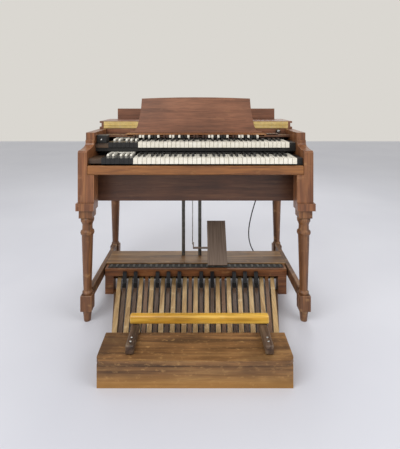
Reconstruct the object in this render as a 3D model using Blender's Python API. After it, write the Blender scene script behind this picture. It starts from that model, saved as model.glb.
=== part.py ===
# Two-manual console organ on turned legs, with a fold-back lid, a music desk and a radiating pedalboard.
# Metres, +Z up, X to the player's right, +Y away from the player, the floor at Z = 0.
# "Depth" below is measured backwards from the front face of the key slip.

import bpy
import bmesh
import math
from mathutils import Vector

# Overall case
GAP = 0.0003                     # between pieces that touch
CASE_WIDTH = 1.218               # over the cheeks
CASE_DEPTH = 0.725               # key slip to back panel
CASE_BOTTOM = 0.585              # underside of the case
CHEEK_TOP = 0.9767
SIDE_THICK = 0.0475
BOARD = 0.018                    # panels of the case
HEEL_REACH = 0.418               # heel box lip in front of the key slip

# Side profile: stepped cheek
CHEEK_FRONT_UPPER = 0.137        # depth of the upper cheek's front
CHEEK_STEP = 0.936               # height where the upper cheek's front ends
CHEEK_LOWER_TOP = 0.894          # top of the lower cheek
CHEEK_BEAD = 0.009
POST_WIDTH = 0.0755
POST_DEPTH = 0.075
POST_INSET = 0.0085              # post's outer face inside the cheek's outer face
MOULDING_OUT = 0.009             # base moulding beyond the cheek
MOULDING_HEIGHT = 0.038

# Case boards
KEY_BED_BOTTOM = 0.770
KEY_BED_THICK = 0.018
KEY_BED_DEPTH = 0.480
KEY_SLIP_THICK = 0.022
KEY_SLIP_TOP = 0.817
KNEE_PANEL_DEPTH = 0.186
CASE_FLOOR_BOTTOM = 0.590
TOP_FRONT = 0.413                # depth of the fixed top's front edge
TOP_THICK = 0.0235
TOP_STEP = 0.012                 # stepped moulding at the ends of the top and the lid

# Legs and stretchers
LEG_X = 0.569
LEG_FRONT_DEPTH = 0.035
LEG_BACK_DEPTH = 0.675
LEG_CAP = 0.070                  # upper square block
LEG_CAP_HEIGHT = 0.040
LEG_BLOCK = 0.059                # lower square block
LEG_BLOCK_BOTTOM = 0.058
LEG_BLOCK_TOP = 0.140
LEG_RING = 0.036                 # radius of the widest ring
LEG_NECK = 0.026
LEG_SHAFT_TOP = 0.0295
LEG_SHAFT_BOTTOM = 0.0208
LEG_LOWER_RING = 0.0265
LEG_FOOT_TOP = 0.0240
LEG_FOOT_BOTTOM = 0.0170
LEG_SIDES = 20
STRETCHER_X = 0.563
STRETCHER_THICK = 0.026
STRETCHER_BOTTOM = 0.098
STRETCHER_TOP = 0.158

# Manuals
KEYS_LEFT = -0.323               # left edge of both manuals' white keys
KEY_PITCH = 0.02356
NATURALS = 36
PRESET_NATURALS = 7
KEY_SPLIT = 0.0008               # between neighbouring keys
KEY_THICK = 0.012
KEY_APRON = 0.030                # height of a white key's front
KEY_APRON_THICK = 0.006
KEY_TAIL = 0.246                 # length of a natural, tail included
KEY_NOTCH_FRONT = 0.050
KEY_NOTCH_END = 0.152
SHARP_WIDTH = 0.0105
SHARP_CLEAR = 0.0012             # each side of a sharp
SHARP_RISE = 0.012               # sharp's top over the naturals
SHARP_DROP = 0.008               # sharp's underside below the naturals' top
SHARP_SLOPE = 0.006
SHARP_LENGTH = 0.100
SHARP_PLATE_LIFT = 0.005
SHARP_PLATE_THICK = 0.005
SHARP_TAIL = 0.262
NATURAL_PIVOT = 0.235            # behind the key's front
SHARP_PIVOT = 0.256
RAIL_DEPTH = 0.014
RIDGE_WIDTH = 0.004
LOWER_KEY_TOP = 0.857
UPPER_KEY_TOP = 0.9215
UPPER_KEY_FRONT = 0.152
LEFT_BLOCK_HEIGHT = 0.0195
FRAME_BLOCK_DROP = 0.021         # frame's solid part below the key tops
DIVIDER_TOP = 0.8895
DIVIDER_SETBACK = 0.0075         # behind the upper keys' front
DIVIDER_LIFT = 0.0015            # above the lower sharps
FRAME_BASE = 0.014
LEFT_BLOCK_DROP = 0.008          # block's top below the key tops
DIVIDER_THICK = 0.006

# Controls above the upper manual
DECK_FRONT = 0.288
DECK_BOTTOM = 0.9365
DECK_THICK = 0.005
DECK_BACK = 0.470
DECK_END_X = 0.410               # where the raised ends of the deck begin
DECK_END_TOP = 0.9485
SHELF_THICK = 0.005
SHELF_OVERLAP = 0.012
FASCIA_FRONT = 0.3998
FASCIA_THICK = 0.012
DRAWBAR_GROUPS = (9, 9, 2, 9, 9)
DRAWBAR_PITCH = 0.0179
DRAWBAR_GROUP_GAP = 0.0349       # between the last bar of a group and the first of the next
DRAWBAR_CAP = (0.0125, 0.024, 0.0152)
DRAWBAR_STEM = (0.006, 0.006)
DRAWBAR_LENGTH = 0.160
DRAWBAR_TRAVEL = 0.072
TAB_COUNT = 4
TAB_PITCH = 0.0175
TAB_SIZE = (0.015, 0.022, 0.009)
TAB_CENTRE_X = 0.4585
TAB_PIVOT_RADIUS = 0.003
KNOB_X = 0.515
KNOB_Z = 0.9625
KNOB_RADIUS = 0.0130
KNOB_LENGTH = 0.022
SWITCH_BOX = (0.058, 0.062, 0.044)
SWITCH_BOX_FRONT = 0.172
LEVER_RADIUS = 0.003
LEVER_LENGTH = 0.012

# Lid
LID_AXIS_DEPTH = 0.4105
LID_AXIS_Z = 1.0005
LID_PANEL_DEPTH = 0.276
LID_STRIP_THICK = 0.012
LID_STRIP_HEIGHT = 0.0732
LID_STRIP_SIDE_CLEAR = 0.008
HINGE_LENGTH = 1.165
HINGE_LEAF_THICK = 0.0013
HINGE_LEAF_HEIGHT = 0.018
HINGE_KNUCKLE = 0.0023
HINGE_BORE = 0.0013
HINGE_PIN = 0.0012
HINGE_SEGMENTS = 5
HINGE_SPLIT = 0.0008

# Music desk
DESK_FOOT_DEPTH = 0.376          # front of the book ledge, on the folding axis
DESK_CLEAR = 0.0007
DESK_HEIGHT = 0.2227
DESK_THICK = 0.011
DESK_LEAN = 8.0
DESK_TOP_WIDTH = 0.684
DESK_WAIST_WIDTH = 0.692
DESK_FOOT_WIDTH = 0.770
DESK_WAIST = 0.150               # height at which the ends begin to splay
DESK_ARCH = 0.008
DESK_LEDGE = (0.820, 0.008, 0.012)

# Pedal switch housing and expression pedal
HOUSING_FRONT = 0.345
HOUSING_BACK = 0.519
HOUSING_WALL = 0.018
HOUSING_BOTTOM = 0.062
TUBE_X = (-0.0806, 0.0250)
TUBE_DEPTH = 0.465
TUBE_RADIUS = 0.011
SWELL_X = 0.131
SWELL_WIDTH = 0.118
SWELL_LENGTH = 0.275
SWELL_THICK = 0.016
SWELL_TILT = 48.0
SWELL_PIVOT_DEPTH = 0.405
SWELL_PIVOT_Z = 0.226
SWELL_PIVOT_OFFSET = 0.022       # pivot below the pedal's underside
SWELL_PIVOT_ALONG = 0.115        # pivot from the pedal's lower end
SWELL_SHAFT = 0.006
SWELL_BORE_CLEAR = 0.0004
SWELL_EAR = 0.006
SWELL_EAR_CLEAR = 0.002
SWELL_EAR_RADIUS = 0.013
CRANK_X = -0.016
CRANK_THICK = 0.006
CRANK_REACH = 0.055
CRANK_RISE = 10.0
CRANK_PIN = 0.003
ROD_RADIUS = 0.003
ROD_EYE = 0.010
ROD_EYE_BORE = 0.0062
ROD_EYE_THICK = 0.005
ROD_TOP_CLEAR = 0.0003           # the rod starts under the case floor and only comes down

# Pedalboard
PEDAL_NATURALS = 15
PEDAL_PITCH_TOE = 0.0654
PEDAL_TOE_REF = 0.299            # depth where the toe pitch is measured
PEDAL_FAN = 0.1681               # sideways run of the outermost pedal per metre of depth
PEDAL_TOE = 0.333
PEDAL_HEEL = -0.378
PEDAL_WIDTH = 0.023
PEDAL_BAR = 0.030                # height of a bar
PEDAL_TOE_TOP = 0.094
PEDAL_HEEL_TOP = 0.080
SHARP_BAR_WIDTH = 0.019
SHARP_BAR_DROP = 0.006
SHARP_BAR_HEEL = -0.345
CAP_FRONT = 0.186
CAP_BACK = 0.274
CAP_TOP_BACK = 0.141
CAP_TOP_FRONT = 0.117
CAP_WIDTH = 0.022
TOE_RAIL_WIDTH = 1.082
TOE_RAIL_FRONT = 0.280
TOE_RAIL_BOTTOM = 0.109
TOE_RAIL_TOP = 0.151
BASE_BLOCK_WIDTH = 0.050
HEEL_BOX_WIDTH = 0.790
HEEL_BOX_BACK = -0.250
HEEL_BOX_FRONT = -0.410
HEEL_BOX_WALL = 0.014
HEEL_BOX_HEIGHT = 0.0967
HEEL_TOP_WIDTH = 0.800
HEEL_TOP_BACK = -0.243
HEEL_TOP_THICK = 0.018
HEEL_TOP_CORNER = 0.030
PIVOT_BOARD_TOP = 0.022
PIVOT_BOARD_BACK = -0.310
SHARP_RAIL_HEIGHT = 0.018
SHARP_KNIFE = 0.004
FILLER_HEEL = -0.318
RUNNER_WIDTH = 0.022
RUNNER_TOP = 0.018
RAIL_X = (-0.295, 0.332)
RAIL_FRONT = -0.247
RAIL_SIZE = (0.032, 0.038)
BRACKET_X = (-0.269, 0.306)
BRACKET_WIDTH = 0.034
BRACKET_FRONT = -0.385
BRACKET_HEIGHT = 0.037

# Inside the case
GENERATOR_X = (-0.450, 0.350)
GENERATOR_DEPTH = (0.500, 0.680)
GENERATOR_HEIGHT = 0.190
MOTOR_RADIUS = 0.055
MOTOR_LENGTH = 0.110

# Power cord: exit, hanging stretch, run along the floor, coil and plug
CORD_DIAMETER = 0.0075
CORD_EXIT = (0.425, 0.600)       # X and depth
GLAND_RADIUS = 0.010
GLAND_LENGTH = 0.026
COIL_TURNS = 3.0                 # in each of the two layers
COIL_OUTER = 0.0500              # centre line of the outermost turn
COIL_PITCH = 0.0091
COIL_CENTRE = (0.392, 0.630)
LOOP_POINTS = 24
LEAD_OUT = 0.046
PLUG_BODY = (0.032, 0.036, 0.0236)
PLUG_PIN = (0.002, 0.018, 0.007)
PLUG_PIN_SPACING = 0.013

# Worked out from the sizes above
FRONT_Y = (HEEL_REACH - CASE_DEPTH) / 2
HALF_CASE = CASE_WIDTH / 2
INNER_X = HALF_CASE - SIDE_THICK
POST_OUT = HALF_CASE - POST_INSET
POST_IN = POST_OUT - POST_WIDTH
KEYS_RIGHT = KEYS_LEFT + NATURALS * KEY_PITCH
PRESETS_LEFT = KEYS_LEFT - PRESET_NATURALS * KEY_PITCH
KEY_BED_TOP = KEY_BED_BOTTOM + KEY_BED_THICK
CASE_FLOOR_TOP = CASE_FLOOR_BOTTOM + BOARD
DECK_TOP = DECK_BOTTOM + DECK_THICK
SHELF_TOP = DECK_END_TOP + GAP + SHELF_THICK
DESK_AXIS_Z = SHELF_TOP + DESK_CLEAR
HOUSING_TOP = STRETCHER_TOP
HEEL_TOP_Z = HEEL_BOX_HEIGHT + GAP + HEEL_TOP_THICK
STEM_BOTTOM = DECK_TOP + GAP
SHARP_PATTERN = {0: -0.0025, 1: 0.0025, 3: -0.0035, 4: 0.0, 5: 0.0035}

FINISHES = {
    "walnut": ((0.20, 0.085, 0.035), 0.42, 0.0),
    "worn walnut": ((0.28, 0.12, 0.045), 0.50, 0.0),
    "dark walnut": ((0.075, 0.032, 0.018), 0.50, 0.0),
    "orange walnut": ((0.36, 0.15, 0.045), 0.40, 0.0),
    "maple": ((0.72, 0.52, 0.30), 0.45, 0.0),
    "yellow varnish": ((0.66, 0.38, 0.10), 0.35, 0.0),
    "ivory plastic": ((0.86, 0.84, 0.76), 0.30, 0.0),
    "black plastic": ((0.018, 0.018, 0.020), 0.28, 0.0),
    "brown plastic": ((0.16, 0.07, 0.035), 0.35, 0.0),
    "black paint": ((0.022, 0.022, 0.024), 0.45, 0.0),
    "brass": ((0.78, 0.60, 0.24), 0.30, 1.0),
    "steel": ((0.55, 0.55, 0.56), 0.35, 1.0),
    "grey metal": ((0.32, 0.31, 0.29), 0.55, 0.6),
    "rubber": ((0.030, 0.029, 0.028), 0.75, 0.0),
}


def at(d):
    """World Y of a depth behind the key slip's front."""
    return FRONT_Y + d


def clear_scene():
    for item in list(bpy.data.objects):
        bpy.data.objects.remove(item, do_unlink=True)


def give_finish(item, finish):
    color, roughness, metallic = FINISHES[finish]
    material = bpy.data.materials.new(item.name)
    material.use_nodes = True
    shader = material.node_tree.nodes["Principled BSDF"]
    shader.inputs["Base Color"].default_value = (*color, 1.0)
    shader.inputs["Roughness"].default_value = roughness
    shader.inputs["Metallic"].default_value = metallic
    item.data.materials.append(material)


def link_mesh(name, bm, finish=None):
    bmesh.ops.recalc_face_normals(bm, faces=bm.faces)
    mesh = bpy.data.meshes.new(name)
    bm.to_mesh(mesh)
    bm.free()
    item = bpy.data.objects.new(name, mesh)
    bpy.context.scene.collection.objects.link(item)
    if finish:
        give_finish(item, finish)
    else:
        item.hide_render = True
        item.display_type = "WIRE"
    return item


def add_hull(bm, lower, upper):
    """Closed prism between two rings of as many points."""
    low = [bm.verts.new(point) for point in lower]
    high = [bm.verts.new(point) for point in upper]
    count = len(low)
    bm.faces.new(low)
    bm.faces.new(high)
    for i in range(count):
        j = (i + 1) % count
        bm.faces.new((low[i], low[j], high[j], high[i]))


def add_box(bm, low, high):
    x0, y0, z0 = low
    x1, y1, z1 = high
    ring = ((x0, y0), (x1, y0), (x1, y1), (x0, y1))
    add_hull(bm, [(x, y, z0) for x, y in ring], [(x, y, z1) for x, y in ring])


def add_prism_x(bm, profile, x0, x1):
    """Profile of (depth, height) points, run from x0 to x1."""
    add_hull(bm, [(x0, at(d), z) for d, z in profile], [(x1, at(d), z) for d, z in profile])


def add_prism_z(bm, outline, z0, z1):
    """Outline of (x, depth) points, run from z0 to z1."""
    add_hull(bm, [(x, at(d), z0) for x, d in outline], [(x, at(d), z1) for x, d in outline])


def box(name, low, high, finish=None):
    """Box by its corners: x, depth and height."""
    bm = bmesh.new()
    add_box(bm, (low[0], at(low[1]), low[2]), (high[0], at(high[1]), high[2]))
    return link_mesh(name, bm, finish)


def prism_x(name, profile, x0, x1, finish=None):
    bm = bmesh.new()
    add_prism_x(bm, profile, x0, x1)
    return link_mesh(name, bm, finish)


def prism_z(name, outline, z0, z1, finish=None):
    bm = bmesh.new()
    add_prism_z(bm, outline, z0, z1)
    return link_mesh(name, bm, finish)


def turned(name, profile, centre, sides, finish=None, axis="Z"):
    """Solid turned from (radius, height) points, about a line through centre."""
    bm = bmesh.new()
    rings = []
    for radius, run in profile:
        ring = []
        for k in range(sides):
            angle = 2 * math.pi * (k + 0.5) / sides
            a = radius * math.cos(angle)
            b = radius * math.sin(angle)
            offset = {"Z": (a, b, run), "X": (run, a, b), "Y": (a, run, b)}[axis]
            ring.append(bm.verts.new(Vector(centre) + Vector(offset)))
        rings.append(ring)
    for lower, upper in zip(rings, rings[1:]):
        for k in range(sides):
            j = (k + 1) % sides
            bm.faces.new((lower[k], lower[j], upper[j], upper[k]))
    bm.faces.new(rings[0])
    bm.faces.new(rings[-1])
    item = link_mesh(name, bm, finish)
    item.data.shade_smooth()
    item.data.set_sharp_from_angle(angle=math.radians(35))
    return item


def combine(item, tool, operation="UNION"):
    modifier = item.modifiers.new(operation.lower() + "_" + tool.name, "BOOLEAN")
    modifier.operation = operation
    modifier.object = tool
    modifier.solver = "EXACT"
    tool.hide_render = True
    tool.display_type = "WIRE"
    return item


def soften(item, width, segments=1):
    modifier = item.modifiers.new("soft_edges", "BEVEL")
    modifier.width = width
    modifier.segments = segments
    modifier.limit_method = "ANGLE"
    modifier.angle_limit = math.radians(40)
    return item


def put_origin(item, point):
    """Moves an object's origin to a point of its joint's axis, given as x, depth and height."""
    world = Vector((point[0], at(point[1]), point[2]))
    for vertex in item.data.vertices:
        vertex.co -= world
    item.location = world


def arc(centre, radius, start, end, steps):
    """Points of an arc, ends included; angles in degrees."""
    points = []
    for i in range(steps + 1):
        angle = math.radians(start + (end - start) * i / steps)
        points.append((centre[0] + radius * math.cos(angle), centre[1] + radius * math.sin(angle)))
    return points


def make_side(name, sign):
    """Cheek with its stepped front, a front and a rear post, and the base moulding."""
    bead_front = CHEEK_FRONT_UPPER - CHEEK_BEAD
    cove_top = CHEEK_STEP - 2 * CHEEK_BEAD
    cove_run = bead_front - CHEEK_BEAD
    cove_drop = cove_top - CHEEK_LOWER_TOP
    cove = [(CHEEK_BEAD + cove_run * math.cos(math.radians(a)), cove_top
             - cove_drop * math.sin(math.radians(a))) for a in range(0, 91, 15)]
    profile = [(CASE_DEPTH, CASE_BOTTOM), (CASE_DEPTH, CHEEK_TOP), (CHEEK_FRONT_UPPER, CHEEK_TOP),
               (CHEEK_FRONT_UPPER, CHEEK_STEP), (bead_front, CHEEK_STEP)]
    profile += cove
    profile += [(0.0, CHEEK_LOWER_TOP - CHEEK_BEAD), (0.0, CASE_BOTTOM)]
    side = prism_x(name, profile, sign * INNER_X, sign * HALF_CASE, "walnut")
    # The front post stands under the key bed, the rear post runs up to the top.
    front = box(name + "_front_post", (min(sign * POST_IN, sign * (INNER_X + GAP)), 0.0, CASE_BOTTOM),
                (max(sign * POST_IN, sign * (INNER_X + GAP)), POST_DEPTH, KEY_BED_BOTTOM - GAP))
    rear = box(name + "_rear_post", (min(sign * POST_IN, sign * (INNER_X + GAP)), CASE_DEPTH - POST_DEPTH,
               CASE_BOTTOM), (max(sign * POST_IN, sign * (INNER_X + GAP)), CASE_DEPTH, CHEEK_TOP))
    outer = sign * (HALF_CASE + MOULDING_OUT)
    inner = sign * (HALF_CASE - GAP)
    moulding = box(name + "_moulding", (min(outer, inner), -MOULDING_OUT, CASE_BOTTOM),
                   (max(outer, inner), CASE_DEPTH, CASE_BOTTOM + MOULDING_HEIGHT))
    toe = box(name + "_moulding_front", (min(sign * POST_IN, outer), -MOULDING_OUT, CASE_BOTTOM),
              (max(sign * POST_IN, outer), GAP, CASE_BOTTOM + MOULDING_HEIGHT))
    for tool in (front, rear, moulding, toe):
        combine(side, tool)
    return side


def make_case():
    make_side("side_left", -1)
    make_side("side_right", 1)
    x = INNER_X - GAP
    corner = POST_IN - GAP
    notch = CASE_DEPTH - POST_DEPTH - GAP
    back = CASE_DEPTH - BOARD - GAP
    knee_back = KNEE_PANEL_DEPTH + BOARD + GAP
    floor = [(-x, knee_back), (x, knee_back), (x, notch), (corner, notch), (corner, back), (-corner, back),
             (-corner, notch), (-x, notch)]
    prism_z("case_floor", floor, CASE_FLOOR_BOTTOM, CASE_FLOOR_TOP, "dark walnut")
    box("back_panel", (-corner, CASE_DEPTH - BOARD, CASE_FLOOR_BOTTOM), (corner, CASE_DEPTH, CHEEK_TOP),
        "walnut")
    box("knee_panel", (-x, KNEE_PANEL_DEPTH, CASE_BOTTOM), (x, KNEE_PANEL_DEPTH + BOARD,
        KEY_BED_BOTTOM - GAP), "dark walnut")
    box("key_bed", (-x, KEY_SLIP_THICK + GAP, KEY_BED_BOTTOM), (x, KEY_BED_DEPTH, KEY_BED_TOP),
        "dark walnut")
    slip = box("key_slip", (-x, 0.0, KEY_BED_BOTTOM), (x, KEY_SLIP_THICK, KEY_SLIP_TOP), "orange walnut")
    soften(slip, 0.003)
    top_low = CHEEK_TOP + GAP
    end_low = top_low + TOP_THICK / 2
    top = box("top_board", (-HALF_CASE + TOP_STEP, TOP_FRONT, top_low),
              (HALF_CASE - TOP_STEP, CASE_DEPTH, top_low + TOP_THICK), "walnut")
    lip = box("top_board_lip", (-HALF_CASE, TOP_FRONT + GAP, top_low), (HALF_CASE, CASE_DEPTH + GAP, end_low))
    combine(top, lip)


def leg_profile():
    """Radius and height up the turned leg, from the foot to the upper block."""
    ring_low = LEG_BLOCK_TOP + 0.004
    cap = CASE_BOTTOM - LEG_CAP_HEIGHT
    return [(LEG_FOOT_BOTTOM, 0.0), (LEG_FOOT_TOP, LEG_BLOCK_BOTTOM + GAP), (LEG_FOOT_TOP, LEG_BLOCK_TOP - GAP),
            (LEG_NECK, ring_low), (LEG_LOWER_RING, ring_low + 0.008), (LEG_SHAFT_BOTTOM, ring_low + 0.017),
            (LEG_SHAFT_TOP, cap - 0.095), (LEG_RING - 0.002, cap - 0.089), (LEG_RING, cap - 0.081),
            (LEG_RING - 0.002, cap - 0.073), (LEG_NECK + 0.001, cap - 0.066), (LEG_NECK, cap - 0.040),
            (LEG_NECK + 0.004, cap - 0.028), (LEG_RING - 0.002, cap - 0.021), (LEG_RING - 0.001, cap - 0.009),
            (LEG_NECK + 0.004, cap - 0.001), (LEG_NECK + 0.004, cap + GAP)]


def make_leg(name, x, d):
    leg = turned(name, leg_profile(), (x, at(d), 0.0), LEG_SIDES, "worn walnut")
    half = LEG_BLOCK / 2
    lower = box(name + "_block", (x - half, d - half, LEG_BLOCK_BOTTOM), (x + half, d + half, LEG_BLOCK_TOP))
    half = LEG_CAP / 2
    upper = box(name + "_cap", (x - half, d - half, CASE_BOTTOM - LEG_CAP_HEIGHT), (x + half, d + half,
                CASE_BOTTOM - GAP))
    soften(lower, 0.002)
    combine(leg, lower)
    combine(leg, upper)


def make_legs():
    for side, sign in (("left", -1), ("right", 1)):
        make_leg("leg_front_" + side, sign * LEG_X, LEG_FRONT_DEPTH)
        make_leg("leg_back_" + side, sign * LEG_X, LEG_BACK_DEPTH)
        half = STRETCHER_THICK / 2
        stretcher = box("stretcher_" + side, (sign * STRETCHER_X - half, LEG_FRONT_DEPTH + LEG_BLOCK / 2 + GAP,
                        STRETCHER_BOTTOM), (sign * STRETCHER_X + half, LEG_BACK_DEPTH - LEG_BLOCK / 2 - GAP,
                        STRETCHER_TOP), "worn walnut")
        soften(stretcher, 0.003)


def sharp_centres(left, naturals, first_note=0):
    """Centre X of each sharp of a keyboard that starts on C and has this many naturals."""
    centres = []
    for i in range(naturals - 1):
        shift = SHARP_PATTERN.get((i + first_note) % 7)
        if shift is not None:
            centres.append(left + (i + 1) * KEY_PITCH + shift)
    return centres


def add_natural(bm, left, i, centres, front, top):
    """One natural: notched plan with its front apron."""
    x0 = left + i * KEY_PITCH + KEY_SPLIT / 2
    x1 = left + (i + 1) * KEY_PITCH - KEY_SPLIT / 2
    half = SHARP_WIDTH / 2 + SHARP_CLEAR
    low = x0
    high = x1
    for centre in centres:
        if x0 < centre + half < x1:
            low = centre + half
        if x0 < centre - half < x1:
            high = centre - half
    notch = front + KEY_NOTCH_FRONT
    end = front + KEY_NOTCH_END
    tail = front + KEY_TAIL - RAIL_DEPTH / 2
    outline = [(x0, front + KEY_APRON_THICK), (x1, front + KEY_APRON_THICK)]
    outline += [(x1, notch), (high, notch), (high, end), (x1, end)] if high < x1 else []
    outline += [(x1, tail), (x0, tail)]
    outline += [(x0, end), (low, end), (low, notch), (x0, notch)] if low > x0 else []
    plate = [(x, at(d)) for x, d in outline]
    bottom = [bm.verts.new((x, y, top - KEY_THICK)) for x, y in plate]
    upper = [bm.verts.new((x, y, top)) for x, y in plate]
    bm.faces.new(upper)
    bm.faces.new(bottom)
    count = len(plate)
    for k in range(1, count):
        j = (k + 1) % count
        bm.faces.new((bottom[k], bottom[j], upper[j], upper[k]))
    # The apron hangs in front of the plate and shares its front edge.
    y = at(front)
    f_top = [bm.verts.new((x0, y, top)), bm.verts.new((x1, y, top))]
    f_low = [bm.verts.new((x0, y, top - KEY_APRON)), bm.verts.new((x1, y, top - KEY_APRON))]
    b_low = [bm.verts.new((x, at(front + KEY_APRON_THICK), top - KEY_APRON)) for x in (x0, x1)]
    bm.faces.new((f_top[0], f_top[1], upper[1], upper[0]))
    bm.faces.new((f_top[0], f_low[0], f_low[1], f_top[1]))
    bm.faces.new((f_low[0], b_low[0], b_low[1], f_low[1]))
    bm.faces.new((b_low[0], bottom[0], bottom[1], b_low[1]))
    bm.faces.new((f_top[0], upper[0], bottom[0], b_low[0], f_low[0]))
    bm.faces.new((f_top[1], f_low[1], b_low[1], bottom[1], upper[1]))


def add_sharp(bm, centre, front, top):
    """One sharp: sloped nose, flat top, ending in the plate behind."""
    start = front + KEY_NOTCH_FRONT + SHARP_CLEAR
    end = start + SHARP_LENGTH - SHARP_CLEAR
    high = top + SHARP_RISE
    low = top - SHARP_DROP
    profile = [(start, low), (start, high - SHARP_SLOPE), (start + SHARP_SLOPE, high), (end, high), (end, low)]
    add_prism_x(bm, profile, centre - SHARP_WIDTH / 2, centre + SHARP_WIDTH / 2)


def make_naturals(name, left, count, front, top, finish):
    centres = sharp_centres(left, count)
    bm = bmesh.new()
    for i in range(count):
        add_natural(bm, left, i, centres, front, top)
    teeth = link_mesh(name + "_teeth", bm)
    edge = KEY_SPLIT / 2
    rail = box(name, (left + edge, front + KEY_TAIL - RAIL_DEPTH, top - KEY_THICK),
               (left + count * KEY_PITCH - edge, front + KEY_TAIL, top), finish)
    combine(rail, teeth)
    put_origin(rail, (0.0, front + NATURAL_PIVOT, top - KEY_THICK - GAP))
    return rail


def make_sharps(name, left, count, front, top, finish):
    centres = sharp_centres(left, count)
    bm = bmesh.new()
    for centre in centres:
        add_sharp(bm, centre, front, top)
    teeth = link_mesh(name + "_teeth", bm)
    low = top + SHARP_PLATE_LIFT
    plate = box(name, (centres[0] - SHARP_WIDTH / 2, front + KEY_NOTCH_END - 0.010, low),
                (centres[-1] + SHARP_WIDTH / 2, front + SHARP_TAIL, low + SHARP_PLATE_THICK), finish)
    combine(plate, teeth)
    put_origin(plate, (0.0, front + SHARP_PIVOT, low - GAP))
    return plate


def make_presets(name, front, top):
    """Preset octave, whose sharps and naturals share one tail here."""
    comb = make_naturals(name, PRESETS_LEFT, PRESET_NATURALS, front, top, "black plastic")
    centres = sharp_centres(PRESETS_LEFT, PRESET_NATURALS)
    bm = bmesh.new()
    for centre in centres:
        add_sharp(bm, centre, front, top)
    teeth = link_mesh(name + "_sharp_teeth", bm)
    low = top + SHARP_PLATE_LIFT
    x0 = centres[0] - SHARP_WIDTH / 2
    x1 = centres[-1] + SHARP_WIDTH / 2
    # The plate over the tails turns down at its rear edge, onto the naturals' rail.
    profile = [(front + KEY_NOTCH_END - 0.010, low), (front + KEY_NOTCH_END - 0.010, low + SHARP_PLATE_THICK),
               (front + KEY_TAIL - GAP, low + SHARP_PLATE_THICK), (front + KEY_TAIL - GAP, top - GAP),
               (front + KEY_TAIL - RAIL_DEPTH / 2, top - GAP), (front + KEY_TAIL - RAIL_DEPTH / 2, low)]
    plate = prism_x(name + "_plate", profile, x0, x1)
    combine(plate, teeth)
    combine(comb, plate)


def make_key_frame(name, front, top, base_low, base_high, start):
    """Frame across the case under one manual, with a knife ridge for each row of tails."""
    block_top = top - FRAME_BLOCK_DROP
    ridge = top - KEY_THICK - GAP
    sharp_ridge = top + SHARP_PLATE_LIFT - GAP
    block = front + KEY_NOTCH_END - 0.002
    n0 = front + NATURAL_PIVOT - RIDGE_WIDTH / 2
    n1 = n0 + RIDGE_WIDTH
    s0 = front + SHARP_PIVOT - RIDGE_WIDTH / 2
    s1 = s0 + RIDGE_WIDTH
    end = front + SHARP_TAIL + 0.006
    profile = [(start, base_low), (start, base_high), (block, base_high), (block, block_top), (n0, block_top),
               (n0, ridge), (n1, ridge), (n1, block_top), (s0, block_top), (s0, sharp_ridge), (s1, sharp_ridge),
               (s1, block_top), (end, block_top), (end, base_low)]
    x = INNER_X - GAP
    frame = prism_x(name, profile, -x, x, "black paint")
    # Block to the right of the last key.
    cheek = box(name + "_right_block", (KEYS_RIGHT + KEY_SPLIT, max(start, front + 0.004), base_low + GAP),
                (x - GAP, front + KEY_NOTCH_END, top - 0.004))
    combine(frame, cheek)
    return frame


def make_manuals():
    tops = {"lower": (0.0, LOWER_KEY_TOP), "upper": (UPPER_KEY_FRONT, UPPER_KEY_TOP)}
    for row, (front, top) in tops.items():
        make_naturals(row + "_naturals", KEYS_LEFT, NATURALS, front, top, "ivory plastic")
        make_sharps(row + "_sharps", KEYS_LEFT, NATURALS, front, top, "black plastic")
        make_presets(row + "_presets", front, top)
    make_key_frame("lower_key_frame", 0.0, LOWER_KEY_TOP, KEY_BED_TOP + GAP, KEY_BED_TOP + FRAME_BASE,
                   KEY_SLIP_THICK + 2 * GAP)
    start = UPPER_KEY_FRONT + DIVIDER_SETBACK
    low = LOWER_KEY_TOP + SHARP_RISE + DIVIDER_LIFT
    frame = make_key_frame("upper_key_frame", UPPER_KEY_FRONT, UPPER_KEY_TOP, low, low + FRAME_BASE / 2, start)
    x = INNER_X - GAP
    divider = box("manual_divider", (-x, start, low), (x, start + DIVIDER_THICK, DIVIDER_TOP))
    combine(frame, divider)
    # Wooden blocks that fill the space left of the preset keys.
    for row, (front, top) in tops.items():
        block_low = top - KEY_THICK - LEFT_BLOCK_HEIGHT
        frame_low = low + FRAME_BASE / 2 if row == "upper" else KEY_BED_TOP + FRAME_BASE
        outline = [(-x, max(front, KEY_SLIP_THICK + 2 * GAP)), (PRESETS_LEFT - GAP, max(front, KEY_SLIP_THICK + 2 * GAP)),
                   (PRESETS_LEFT - GAP, front + KEY_NOTCH_END - 0.003), (-x, front + KEY_NOTCH_END - 0.003)]
        prism_z(row + "_left_block", outline, max(block_low, frame_low + GAP), top - LEFT_BLOCK_DROP, "worn walnut")


def make_deck():
    """Deck that carries the drawbars, the music desk's shelf and the tabs, with the fascia behind."""
    x = INNER_X - GAP
    deck = box("control_deck", (-x, DECK_FRONT, DECK_BOTTOM), (x, DECK_BACK, DECK_TOP), "dark walnut")
    for tag, x0, x1 in (("left", -x, -DECK_END_X), ("right", DECK_END_X, x)):
        end = box("control_deck_end_" + tag, (x0, DECK_FRONT, DECK_TOP - GAP), (x1, DECK_BACK, DECK_END_TOP))
        combine(deck, end)
    shelf_x = DECK_END_X + SHELF_OVERLAP
    box("desk_shelf", (-shelf_x, DECK_FRONT, DECK_END_TOP + GAP), (shelf_x, FASCIA_FRONT - GAP, SHELF_TOP),
        "orange walnut")
    box("fascia_board", (-x, FASCIA_FRONT, DECK_END_TOP + GAP), (x, FASCIA_FRONT + FASCIA_THICK, CHEEK_TOP),
        "walnut")


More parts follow.
